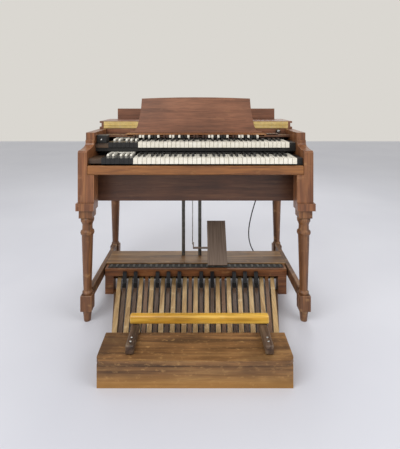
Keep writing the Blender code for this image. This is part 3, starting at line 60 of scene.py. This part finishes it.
def hexColour(text):
    channels = [int(text[i:i + 2], 16) / 255 for i in (0, 2, 4)]
    return (*[c / 12.92 if c <= 0.04045 else ((c + 0.055) / 1.055) ** 2.4 for c in channels], 1.0)


def addNode(tree, kind, settings=None, inputs=None):
    node = tree.nodes.new(kind)
    for name, value in (settings or {}).items():
        setattr(node, name, value)
    for name, value in (inputs or {}).items():
        if isinstance(value, bpy.types.NodeSocket):
            tree.links.new(value, node.inputs[name])
        else:
            node.inputs[name].default_value = value
    return node


def addRamp(tree, factor, stops, interpolation="LINEAR"):
    ramp = addNode(tree, "ShaderNodeValToRGB", inputs={"Fac": factor})
    ramp.color_ramp.interpolation = interpolation
    points = ramp.color_ramp.elements
    for place, colour in stops[2:]:
        points.new(place)
    for point, (place, colour) in zip(points, stops):
        point.position = place
    for point, (place, colour) in zip(sorted(points, key=lambda p: p.position), stops):
        point.color = hexColour(colour)
    return ramp.outputs["Color"]


def blendColours(tree, factor, first, second, mode="MIX"):
    mix = addNode(tree, "ShaderNodeMix", {"data_type": "RGBA", "blend_type": mode})
    for number, value in ((0, factor), (6, first), (7, second)):
        if isinstance(value, bpy.types.NodeSocket):
            tree.links.new(value, mix.inputs[number])
        else:
            mix.inputs[number].default_value = value
    return mix.outputs[2]


def startMaterial(name):
    material = bpy.data.materials.new(name)
    material.use_nodes = True
    tree = material.node_tree
    tree.nodes.clear()
    return material, tree, addNode(tree, "ShaderNodeTexCoord").outputs["Object"]


def mottle(tree, place, scale, detail=4.0, stretch=(1.0, 1.0, 1.0), swirl=0.0):
    mapped = addNode(tree, "ShaderNodeMapping", inputs={"Vector": place, "Scale": stretch}).outputs["Vector"]
    return addNode(tree, "ShaderNodeTexNoise",
                   inputs={"Vector": mapped, "Scale": scale, "Detail": detail, "Distortion": swirl}).outputs["Fac"]


def finishSurface(tree, colour, rough, look, height=None):
    bevel = addNode(tree, "ShaderNodeBevel", {"samples": 4}, {"Radius": look.get("round", 0.0012)})
    rounded = bevel.outputs["Normal"]
    if height is not None:
        rounded = addNode(tree, "ShaderNodeBump", inputs={"Height": height, "Normal": rounded,
                          "Strength": look.get("relief", 0.25), "Distance": 0.0008}).outputs["Normal"]
    shader = addNode(tree, "ShaderNodeBsdfPrincipled", inputs={"Base Color": colour, "Roughness": rough,
                     "Metallic": look.get("metal", 0.0), "Coat Weight": look.get("coat", 0.0),
                     "Coat Roughness": 0.18, "Normal": rounded})
    addNode(tree, "ShaderNodeOutputMaterial", inputs={"Surface": shader.outputs["BSDF"]})


def edgeWear(tree, place, width, strength):
    # Where the rounded normal leaves the flat one there is an edge; rubbed patches break it up.
    rounded = addNode(tree, "ShaderNodeBevel", {"samples": 4}, {"Radius": width}).outputs["Normal"]
    flat = addNode(tree, "ShaderNodeNewGeometry").outputs["Normal"]
    facing = addNode(tree, "ShaderNodeVectorMath", {"operation": "DOT_PRODUCT"}, {0: rounded, 1: flat})
    edge = addNode(tree, "ShaderNodeMapRange", inputs={"Value": facing.outputs["Value"], "From Min": 0.995, "From Max": 0.86,
                   "To Min": 0.0, "To Max": strength}).outputs["Result"]
    patches = mottle(tree, place, 28.0, 5.0)
    broken = addNode(tree, "ShaderNodeMapRange", inputs={"Value": patches, "From Min": 0.40, "From Max": 0.60})
    return addNode(tree, "ShaderNodeMath", {"operation": "MULTIPLY"},
                   {0: edge, 1: broken.outputs["Result"]}).outputs["Value"]


def varnishedWood(name, look):
    material, tree, place = startMaterial(name)
    along = {"x": (2.4, 46.0, 46.0), "y": (46.0, 2.4, 46.0), "z": (46.0, 46.0, 2.4)}[look["grain"]]
    figure = mottle(tree, place, 1.0, 6.0, along, 0.7)
    pores = mottle(tree, place, 6.0, 3.0, along)
    colour = addRamp(tree, figure, [(0.32, look["dark"]), (0.50, look["middle"]), (0.68, look["light"])])
    poreShade = addRamp(tree, pores, [(0.38, "6a6a6a"), (0.56, "ffffff")])
    colour = blendColours(tree, 0.30, colour, poreShade, "MULTIPLY")
    tone = addRamp(tree, mottle(tree, place, 3.2, 3.0), [(0.35, "b4aca6"), (0.65, "ffffff")])
    colour = blendColours(tree, 0.55, colour, tone, "MULTIPLY")
    rubbing = mottle(tree, place, look.get("scuffSize", 30.0), 8.0, (0.5, 1.0, 1.0))
    scuffs = addNode(tree, "ShaderNodeMapRange", inputs={"Value": rubbing,
                     "From Min": 0.64 - 0.16 * look["worn"], "From Max": 0.78 - 0.10 * look["worn"],
                     "To Max": min(1.0, 0.25 + look["worn"])}).outputs["Result"]
    colour = blendColours(tree, scuffs, colour, hexColour(look["bare"]))
    if "bars" in look:    # the fixed bars between the pedals are greyer than the rail behind them
        run = addNode(tree, "ShaderNodeSeparateXYZ", inputs={"Vector": place}).outputs["Y"]
        front = addNode(tree, "ShaderNodeMath", {"operation": "LESS_THAN"}, {0: run, 1: look["barsTo"]})
        greyed = blendColours(tree, 0.8, colour, hexColour(look["bars"]))
        colour = blendColours(tree, front.outputs["Value"], colour, greyed)
    if "patch" in look:    # dark old varnish left in broad mottled patches
        broad = mottle(tree, place, look["patchSize"], 9.0, (1.0, 1.0, 1.6))
        left = addNode(tree, "ShaderNodeMapRange", inputs={"Value": broad, "From Min": 0.44, "From Max": 0.60,
                                                            "To Max": 0.80}).outputs["Result"]
        spread = addNode(tree, "ShaderNodeSeparateXYZ", inputs={"Vector": place}).outputs
        out = addNode(tree, "ShaderNodeMath", {"operation": "ABSOLUTE"}, {0: spread["X"]}).outputs["Value"]
        ends = addNode(tree, "ShaderNodeMapRange", inputs={"Value": out, "From Min": 0.14, "From Max": 0.38,
                                                            "To Min": 0.30, "To Max": 1.0}).outputs["Result"]
        left = addNode(tree, "ShaderNodeMath", {"operation": "MULTIPLY"}, {0: left, 1: ends}).outputs["Value"]
        colour = blendColours(tree, left, colour, hexColour(look["patch"]))
        # toward the floor the front is rubbed to golden wood
        low = addNode(tree, "ShaderNodeMapRange", inputs={"Value": spread["Z"], "From Min": 0.062,
                                                           "From Max": 0.004, "To Max": 0.62}).outputs["Result"]
        colour = blendColours(tree, low, colour, hexColour(look["rubbed"]))
    colour = blendColours(tree, edgeWear(tree, place, 0.0035, 0.35 + 0.6 * look["worn"]), colour,
                          hexColour(look["bare"]))
    # painted shade: ambient occlusion darkens the wood's colour in recesses and where parts meet
    paintedShade = addNode(tree, "ShaderNodeAmbientOcclusion", {"samples": 4}, {"Distance": 0.02}).outputs["AO"]
    paintedShadeTint = addRamp(tree, paintedShade, [(0.25, "4a3c34"), (0.85, "ffffff")])
    colour = blendColours(tree, look.get("paintedShade", 0.4), colour, paintedShadeTint, "MULTIPLY")
    rough = addNode(tree, "ShaderNodeMapRange", inputs={"Value": pores, "To Min": look["rough"] - 0.06,
                                                         "To Max": look["rough"] + 0.16}).outputs["Result"]
    finishSurface(tree, colour, rough, look, pores)
    return material


def plainFinish(name, look):
    material, tree, place = startMaterial(name)
    cloud = mottle(tree, place, look.get("grainSize", 40.0), 5.0, look.get("stretch", (1.0, 1.0, 1.0)))
    colour = addRamp(tree, cloud, [(0.30, look["dark"]), (0.70, look["light"])])
    if "upper" in look:    # a second colour above one height, such as a cap on its bar
        height = addNode(tree, "ShaderNodeSeparateXYZ", inputs={"Vector": place}).outputs["Z"]
        above = addNode(tree, "ShaderNodeMath", {"operation": "GREATER_THAN"}, {0: height, 1: look["upperFrom"]})
        colour = blendColours(tree, above.outputs["Value"], colour, hexColour(look["upper"]))
    if "lines" in look:    # dirt and painted shade in the joints between neighbouring keys
        start, pitch, half = look["lines"]
        across = addNode(tree, "ShaderNodeSeparateXYZ", inputs={"Vector": place}).outputs["X"]
        count = addNode(tree, "ShaderNodeMath", {"operation": "SUBTRACT"}, {0: across, 1: start - pitch / 2})
        count = addNode(tree, "ShaderNodeMath", {"operation": "DIVIDE"}, {0: count.outputs["Value"], 1: pitch})
        portion = addNode(tree, "ShaderNodeMath", {"operation": "FRACT"}, {0: count.outputs["Value"]})
        joint = addNode(tree, "ShaderNodeMath", {"operation": "COMPARE"},
                        {0: portion.outputs["Value"], 1: 0.5, 2: half / pitch})
        colour = blendColours(tree, joint.outputs["Value"], colour, hexColour(look["joint"]))
    if look.get("paintedShade", 0.3) > 0:
        # painted shade: ambient occlusion darkens the colour in recesses and where parts meet
        shade = addNode(tree, "ShaderNodeAmbientOcclusion", {"samples": 4}, {"Distance": 0.012}).outputs["AO"]
        colour = blendColours(tree, look.get("paintedShade", 0.3), colour,
                              addRamp(tree, shade, [(0.2, "3c342c"), (0.8, "ffffff")]), "MULTIPLY")
    rough = addNode(tree, "ShaderNodeMapRange", inputs={"Value": cloud, "To Min": look["rough"] - 0.05,
                                                         "To Max": look["rough"] + 0.10}).outputs["Result"]
    finishSurface(tree, colour, rough, look, cloud)
    return material


def barCaps(name, look, lowest, pitch, capBack):
    # Each cap takes its own colour from the place of its bar in the group.
    material, tree, place = startMaterial(name)
    parts = addNode(tree, "ShaderNodeSeparateXYZ", inputs={"Vector": place}).outputs
    shifted = addNode(tree, "ShaderNodeMath", {"operation": "SUBTRACT"}, {0: parts["X"], 1: lowest})
    count = len(look["caps"])
    portion = addNode(tree, "ShaderNodeMath", {"operation": "DIVIDE"},
                      {0: shifted.outputs["Value"], 1: pitch * count}).outputs["Value"]
    stops = [(k / count, look["shades"][letter]) for k, letter in enumerate(look["caps"])]
    colour = addRamp(tree, portion, stops, "CONSTANT")
    behind = addNode(tree, "ShaderNodeMath", {"operation": "GREATER_THAN"}, {0: parts["Y"], 1: capBack})
    colour = blendColours(tree, behind.outputs["Value"], colour, hexColour("17120f"))
    cloud = mottle(tree, place, 60.0)
    rough = addNode(tree, "ShaderNodeMapRange", inputs={"Value": cloud, "To Min": 0.20, "To Max": 0.34})
    finishSurface(tree, colour, rough.outputs["Result"], look, cloud)
    return material


def dress(nodes, material):
    for node in nodes.split():
        mesh = bpy.data.objects[node].data
        if not mesh.materials:
            mesh.materials.append(material)
        for number in range(len(mesh.materials)):
            mesh.materials[number] = material


woods = {
    # reddish varnished walnut, rubbed pale at the edges
    "deskWalnut": {"nodes": "music_desk lid_panel lid_strip back_panel top_board fascia_board", "grain": "x",
                   "dark": "74482f", "middle": "86553a", "light": "946245", "bare": "a5754f", "worn": 0.05,
                   "rough": 0.36, "coat": 0.25},
    # the same walnut on the stepped cheeks, with its grain from front to back
    "cheekWalnut": {"nodes": "side_left side_right", "grain": "z", "dark": "6e4226", "middle": "8a5633",
                    "light": "9f6a40", "bare": "c29160", "worn": 0.18, "rough": 0.36, "coat": 0.25},
    # turned legs, scuffed down to bare wood by feet and brooms
    "legWalnut": {"nodes": "leg_front_left leg_front_right leg_back_left leg_back_right", "grain": "z",
                  "dark": "583720", "middle": "7d502f", "light": "99693f", "bare": "bd9360", "worn": 0.35,
                  "rough": 0.44, "coat": 0.12},
    # low rails between the legs
    "railWalnut": {"nodes": "stretcher_left stretcher_right", "grain": "y", "dark": "483020", "middle": "6b4930",
                   "light": "8a6442", "bare": "a8825a", "worn": 0.4, "rough": 0.46, "coat": 0.10},
    # walnut darkened with painted shade, for the parts that sit in shadow
    "shadedWalnut": {"nodes": "knee_panel key_bed case_floor control_deck", "grain": "x", "dark": "553422",
                     "middle": "6a432c",
                     "light": "7a5238", "bare": "8e664a", "worn": 0.04, "rough": 0.40, "coat": 0.20},
    # plain brown blocks at the left ends of the key rows
    "blackenedWalnut": {"nodes": "lower_left_block upper_left_block", "grain": "x", "dark": "3a2a20",
                        "middle": "54402f", "light": "6a5340", "bare": "8a7256", "worn": 0.05, "rough": 0.34,
                        "coat": 0.20},
    # orange-brown varnish on the board under the keys and on the shelf
    "orangeWalnut": {"nodes": "key_slip desk_shelf", "grain": "x", "dark": "7f4d26", "middle": "97602f",
                     "light": "aa713b", "bare": "d09a5c", "worn": 0.1, "rough": 0.34, "coat": 0.30},
    # pedal frame, dirty and rubbed like the switch housing
    "pedalFrameWood": {"nodes": "pedalboard_frame", "grain": "x", "dark": "613a20",
                       "middle": "855029", "light": "9d653a", "bare": "b08a58", "worn": 0.35, "rough": 0.48,
                       "coat": 0.08,
                       "bars": "7c634f", "barsTo": 0.120},
    # the switch housing's board, rubbed by shoes
    "housingWood": {"nodes": "pedal_switch_housing", "grain": "x", "dark": "5c3f25", "middle": "86623c",
                    "light": "a27d50", "bare": "b48c58", "worn": 0.30, "rough": 0.44, "coat": 0.12},
    # the heel box, worn through its varnish
    "heelBoxWood": {"nodes": "heel_box heel_box_top", "grain": "x", "dark": "60411f", "middle": "95693c",
                    "light": "b18752", "bare": "b98f58", "worn": 0.45, "rough": 0.50, "coat": 0.06, "relief": 0.4,
                   "paintedShade": 0.3,
                   "scuffSize": 95.0,
                   "patch": "4a3018",
                   "rubbed": "c08a3e",
                   "patchSize": 7.0},
    # dark brackets under the foot rail
    "bracketWood": {"nodes": "rail_bracket_left rail_bracket_right", "grain": "y", "dark": "3c2c20",
                    "middle": "60493a", "light": "806a54", "bare": "9a8468", "worn": 0.40, "rough": 0.52,
                   "paintedShade": 0.3},
    # maple pedals, darkened in the middle by shoes
    "pedalMaple": {"nodes": "pedal_naturals", "grain": "y", "dark": "b08a58", "middle": "d2ae78", "light": "e2c28e",
                   "bare": "e8cea2", "worn": 0.35, "rough": 0.46, "coat": 0.10,
                   "paintedShade": 0.12},
    # yellow varnish on the foot rail
    "yellowRailWood": {"nodes": "foot_rail", "grain": "x", "dark": "d29a2e", "middle": "e8b342", "light": "f4c85c",
                       "bare": "f2d28c", "worn": 0.15, "rough": 0.32, "coat": 0.30,
                   "paintedShade": 0.2},
}
for name, look in woods.items():
    dress(look["nodes"], varnishedWood(name, look))
print("wood done:", len(woods), "finishes")

plains = {
    # warm ivory plastic of the white keys
    "ivoryKeyPlastic": {"nodes": "lower_naturals upper_naturals", "dark": "e6dfcd", "light": "f7f2e5", "rough": 0.26,
                        "coat": 0.3, "paintedShade": 0.3, "round": 0.0008,
                        # the joint colour is dirt plus painted shade of the gaps between keys
                        "lines": (-0.323, 0.02356, 0.0011), "joint": "8c8372"},
    # black plastic of the sharps
    "blackKeyPlastic": {"nodes": "lower_sharps upper_sharps", "dark": "0b0b0c", "light": "19191a", "rough": 0.24,
                        "coat": 0.3, "round": 0.0010},
    # preset keys turned about: black naturals, white sharps
    "lowerPresetPlastic": {"nodes": "lower_presets", "dark": "0b0b0c", "light": "19191a", "upper": "eae5d8",
                           "upperFrom": 0.8578, "rough": 0.24, "coat": 0.3, "round": 0.0010},
    "upperPresetPlastic": {"nodes": "upper_presets", "dark": "0b0b0c", "light": "19191a", "upper": "eae5d8",
                           "upperFrom": 0.9223, "rough": 0.24, "coat": 0.3, "round": 0.0010},
    # brown rocker tabs; the cream on their tops is a painted highlight where light catches the tips
    "brownTabPlastic": {"nodes": "percussion_tabs", "dark": "3a2014", "light": "55301d", "upper": "cfc2a4",
                        "upperFrom": 0.9588, "rough": 0.32, "round": 0.0008},
    # knob and plug
    "blackKnobPlastic": {"nodes": "rotary_knob plug", "dark": "0d0d0e", "light": "1d1d1e", "rough": 0.30},
    # black enamel on the key frames, the switch box and the pedal's bracket
    "blackEnamel": {"nodes": "lower_key_frame upper_key_frame switch_box swell_bracket", "dark": "101011",
                    "light": "1f1e1d", "rough": 0.42},
    # stained bars of the short pedals under their black caps
    "stainedPedalWood": {"nodes": "pedal_sharps", "dark": "4a372b", "light": "6a5442", "upper": "15171a",
                         "upperFrom": 0.0895, "rough": 0.40, "stretch": (3.0, 0.15, 3.0),
                   "paintedShade": 0.2},
    # brass piano hinge
    "hingeBrass": {"nodes": "hinge_leaf_case hinge_leaf_lid", "dark": "dcc27c", "light": "ead293", "rough": 0.36,
                   "metal": 1.0, "paintedShade": 0.25, "round": 0.0005},
    # bright steel of the lever and the rod
    "brightSteel": {"nodes": "run_lever swell_rod", "dark": "9a9a9a", "light": "c8c8c6", "rough": 0.28, "metal": 1.0,
                    "round": 0.0006},
    # grey tubes from the switch housing to the case
    "greyConduit": {"nodes": "conduit_tube_left conduit_tube_right", "dark": "4f4e4b", "light": "74726d",
                    "rough": 0.42, "metal": 0.7},
    # the generator's housing, inside the case
    "greyCasting": {"nodes": "tone_generator", "dark": "4a4946", "light": "66645f", "rough": 0.55, "metal": 0.5},
    # ribbed grey-brown tread of the expression pedal
    "pedalTread": {"nodes": "expression_pedal", "dark": "59493c", "light": "877364", "rough": 0.58, "metal": 0.0,
                   "relief": 0.6, "stretch": (40.0, 1.0, 1.0), "grainSize": 5.0},
    # dark rubber of the gland
    "darkRubber": {"nodes": "cord_gland power_cord cord_coil", "dark": "151413", "light": "262422", "rough": 0.62},
}
for name, look in plains.items():
    dress(look["nodes"], plainFinish(name, look))
print("plastic, metal and rubber done:", len(plains), "finishes")

capShades = {"b": "3c2418", "w": "ece6d8", "k": "141414"}
capPitch = 0.0179
capGroups = {"drawbars_1": "bbwwkwkkw", "drawbars_2": "bbwwkwkkw", "drawbars_3": "bb", "drawbars_4": "bbwwkwkkw",
             "drawbars_5": "bbwwkwkkw"}
for node, caps in capGroups.items():
    low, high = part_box(node)
    look = {"caps": caps, "shades": capShades, "coat": 0.3, "round": 0.0008}
    # brown, white and black drawbar plastic
    dress(node, barCaps("drawbarPlastic" + node[-1], look, low.x - 0.0027, capPitch, low.y + 0.0245))
print("drawbar caps done:", len(capGroups), "groups")

# The free cord: down from the gland, along the floor and into a two-layer coil beside the plug.
frontY = -0.1535
wire = {"radius": 0.00375, "exit": (0.425, 0.600, 0.5634), "coil": (0.392, 0.630), "outer": 0.050, "pitch": 0.0091,
        "turns": 3.0, "leadOut": 0.046, "length": 2.3}


def coilPoint(turn):
    inward = min(turn, wire["turns"])
    outward = max(turn - wire["turns"] - 0.5, 0.0)
    reach = wire["outer"] - wire["pitch"] * inward + wire["pitch"] * outward
    climb = min(max((turn - wire["turns"]) / 0.5, 0.0), 1.0)
    angle = math.radians(90) + 2 * math.pi * turn
    return Vector((wire["coil"][0] + reach * math.cos(angle), wire["coil"][1] + reach * math.sin(angle),
                   wire["radius"] + wire["pitch"] * climb))


def cordPoints():
    x, d, top = wire["exit"]
    r = wire["radius"]
    offsets = [(0, 0, top), (0, 0, top - 0.020), (-0.004, 0, 0.520), (-0.020, 0, 0.460), (-0.042, 0, 0.385),
               (-0.060, 0, 0.300), (-0.064, 0, 0.230), (-0.052, 0, 0.165), (-0.022, 0, 0.105), (0.016, 0, 0.052),
               (0.050, 0.004, 0.018), (0.076, 0.016, r + 0.002), (0.092, 0.040, r), (0.086, 0.072, r),
               (0.058, 0.092, r), (0.022, 0.090, r)]
    line = [Vector((x + dx, d + dy, z)) for dx, dy, z in offsets]
    start = coilPoint(0.0)
    line += [start + Vector((0.030, 0.001, 0.0)), start + Vector((2 * r, 0.0, 0.0)), start]
    line = [2 * line[0] - line[1]] + line + [2 * line[-1] - line[-2]]
    fine = []
    for a, b, c, e in zip(line, line[1:], line[2:], line[3:]):
        for k in range(8):
            t = k / 8
            fine.append(0.5 * (2 * b + (c - a) * t + (2 * a - 5 * b + 4 * c - e) * t * t
                               + (3 * b - a - 3 * c + e) * t ** 3))
    loops = [coilPoint(i / 32) for i in range(round((2 * wire["turns"] + 0.5) * 32) + 1)]
    heading = loops[-1] - loops[-2]
    heading.z = 0.0
    loops.append(loops[-1] + heading.normalized() * wire["leadOut"])
    return fine + loops


path = cordPoints()
wireCurve = bpy.data.curves.new("mainsCord", "CURVE")
wireCurve.dimensions = "3D"
wireCurve.bevel_depth = wire["radius"]
wireCurve.bevel_resolution = 3
wireCurve.use_fill_caps = True
spline = wireCurve.splines.new("POLY")
spline.points.add(len(path) - 1)
for point, (x, d, z) in zip(spline.points, path):
    point.co = (x, frontY + d, z, 1.0)
mainsCord = bpy.data.objects.new("mainsCord", wireCurve)
bpy.context.scene.collection.objects.link(mainsCord)
wireCurve.materials.append(bpy.data.materials["darkRubber"])
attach(mainsCord, "root")
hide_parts("power_cord", "cord_coil")
x, d, z = wire["exit"]
print("cord done")

# Small fittings: round screw heads let into the hinge, bolt heads on the brackets, a bright face on the knob.
screws = {"radius": 0.0024, "proud": 0.0006, "spacing": 0.065, "leaf": 0.0013}


def roundHeads(name, places, radius, proud, facing, material, body):
    heads = []
    for place in places:
        bpy.ops.mesh.primitive_uv_sphere_add(segments=12, ring_count=6, radius=radius, location=place)
        head = bpy.context.object
        flatten = [1.0, 1.0, 1.0]
        flatten[facing] = proud / radius
        bpy.ops.transform.resize(value=flatten)
        bpy.ops.object.transform_apply(location=True, rotation=True, scale=True)
        heads.append(head)
    bpy.ops.object.select_all(action="DESELECT")
    for head in heads:
        head.select_set(True)
    bpy.context.view_layer.objects.active = heads[0]
    if len(heads) > 1:
        bpy.ops.object.join()
    piece = bpy.context.view_layer.objects.active
    piece.name = name
    piece.data.name = name
    bpy.ops.object.shade_smooth()
    piece.data.materials.append(bpy.data.materials[material])
    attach(piece, body)
    bpy.ops.object.select_all(action="DESELECT")
    return piece


for node, body, height in (("hinge_leaf_case", "root", 0.9885), ("hinge_leaf_lid", "lid", 1.0125)):
    low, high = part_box(node)
    count = int((high.x - low.x) / screws["spacing"])
    places = [Vector((low.x + (k + 0.5) * (high.x - low.x) / count, high.y - screws["leaf"], height))
              for k in range(count)]
    roundHeads(node.replace("hinge_leaf", "hingeScrews"), places, screws["radius"], screws["proud"], 1, "brightSteel",
               body)

low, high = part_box("rotary_knob")
knobCap = {"radius": 0.0085, "proud": 0.0012}
middle = Vector(((low.x + high.x) / 2, low.y, (low.z + high.z) / 2))
roundHeads("knobFace", [middle], knobCap["radius"], knobCap["proud"], 1, "brightSteel", "rotary_knob")
bolts = {"radius": 0.0055, "proud": 0.0028, "runs": (0.030, 0.055), "lift": 0.05}
boltPlaces = []
for node in ("rail_bracket_left", "rail_bracket_right"):
    low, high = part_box(node)
    for run in bolts["runs"]:
        above = Vector(((low.x + high.x) / 2, low.y + run, high.z + bolts["lift"]))
        found = bpy.data.objects[node].ray_cast(above, Vector((0.0, 0.0, -1.0)))
        if found[0]:
            boltPlaces.append(found[1].copy())
roundHeads("bracketBolts", boltPlaces, bolts["radius"], bolts["proud"], 2, "brightSteel", "root")

# Felt and leaf springs in the trough behind the toe rail.
trough = {"half": 0.528, "front": 0.143, "back": 0.1895, "top": 0.1513, "felt": 0.0012, "count": 31,
          "leaf": (0.0125, 0.034, 0.0035)}
bpy.ops.mesh.primitive_cube_add(size=1.0, location=(0.0, (trough["front"] + trough["back"]) / 2,
                                                    trough["top"] + trough["felt"] / 2))
feltStrip = bpy.context.object
feltStrip.dimensions = (2 * trough["half"], trough["back"] - trough["front"], trough["felt"])
bpy.ops.object.transform_apply(location=True, rotation=True, scale=True)
feltStrip.name = "troughFelt"
feltStrip.data.materials.append(bpy.data.materials["darkRubber"])
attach(feltStrip, "root")
bpy.ops.object.select_all(action="DESELECT")
leaves = []
for k in range(trough["count"]):
    x = -trough["half"] + (k + 0.5) * 2 * trough["half"] / trough["count"]
    bpy.ops.mesh.primitive_cube_add(size=1.0, location=(x, (trough["front"] + trough["back"]) / 2,
                                                        trough["top"] + trough["felt"] + trough["leaf"][2] / 2))
    leaf = bpy.context.object
    leaf.dimensions = trough["leaf"]
    bpy.ops.object.transform_apply(location=True, rotation=True, scale=True)
    leaves.append(leaf)
bpy.ops.object.select_all(action="DESELECT")
for leaf in leaves:
    leaf.select_set(True)
bpy.context.view_layer.objects.active = leaves[0]
bpy.ops.object.join()
springLeaves = bpy.context.view_layer.objects.active
springLeaves.name = "springLeaves"
bpy.ops.object.mode_set(mode="EDIT")
bpy.ops.mesh.select_all(action="SELECT")
bpy.ops.mesh.bevel(offset=0.0008, segments=2)
bpy.ops.object.mode_set(mode="OBJECT")
springLeaves.data.materials.append(bpy.data.materials["greyCasting"])
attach(springLeaves, "root")
bpy.ops.object.select_all(action="DESELECT")
print("fittings done")

# Plain floor, pale surroundings and soft lamps.
studio = {"floor": "d3d4dc", "around": "dad7d1", "worldLevel": 0.62}
bpy.ops.mesh.primitive_plane_add(size=14.0, location=(0.0, 1.0, 0.0))
floor = bpy.context.object
floor.name = "studioFloor"
floorMaterial, floorTree, floorPlace = startMaterial("paleFloor")    # pale painted floor
floorCloud = mottle(floorTree, floorPlace, 1.2, 3.0)
finishSurface(floorTree, addRamp(floorTree, floorCloud, [(0.3, studio["floor"]), (0.7, "d9dae1")]), 0.45,
              {"relief": 0.0, "round": 0.0})
floor.data.materials.append(floorMaterial)
world = bpy.data.worlds.new("softRoom")
bpy.context.scene.world = world
world.use_nodes = True
air = world.node_tree
air.nodes.clear()
ray = addNode(air, "ShaderNodeLightPath").outputs
seen = addNode(air, "ShaderNodeMath", {"operation": "MAXIMUM"},
               {0: ray["Is Camera Ray"], 1: ray["Is Glossy Ray"]}).outputs["Value"]
seen = addNode(air, "ShaderNodeMath", {"operation": "MAXIMUM"},
               {0: seen, 1: ray["Is Transmission Ray"]}).outputs["Value"]
lighting = addNode(air, "ShaderNodeBackground",
                   inputs={"Color": hexColour("ffffff"), "Strength": studio["worldLevel"]})
backdrop = addNode(air, "ShaderNodeBackground", inputs={"Color": hexColour(studio["around"]), "Strength": 1.0})
either = addNode(air, "ShaderNodeMixShader", inputs={0: seen, 1: lighting.outputs[0], 2: backdrop.outputs[0]})
addNode(air, "ShaderNodeOutputWorld", inputs={"Surface": either.outputs[0]})
lamps = {"keyLamp": ((-1.6, -2.2, 3.0), 2.6, 62.0), "fillLamp": ((2.2, -1.6, 2.4), 2.2, 30.0),
         "rearLamp": ((0.3, 2.4, 2.8), 2.4, 34.0)}
for name, (place, size, power) in lamps.items():
    lamp = bpy.data.lights.new(name, "AREA")
    lamp.shape = "DISK"
    lamp.size = size
    lamp.energy = power
    item = bpy.data.objects.new(name, lamp)
    bpy.context.scene.collection.objects.link(item)
    item.location = place
    item.rotation_euler = (Vector((0.0, 0.1, 0.6)) - Vector(place)).to_track_quat("-Z", "Y").to_euler()
print("studio done")
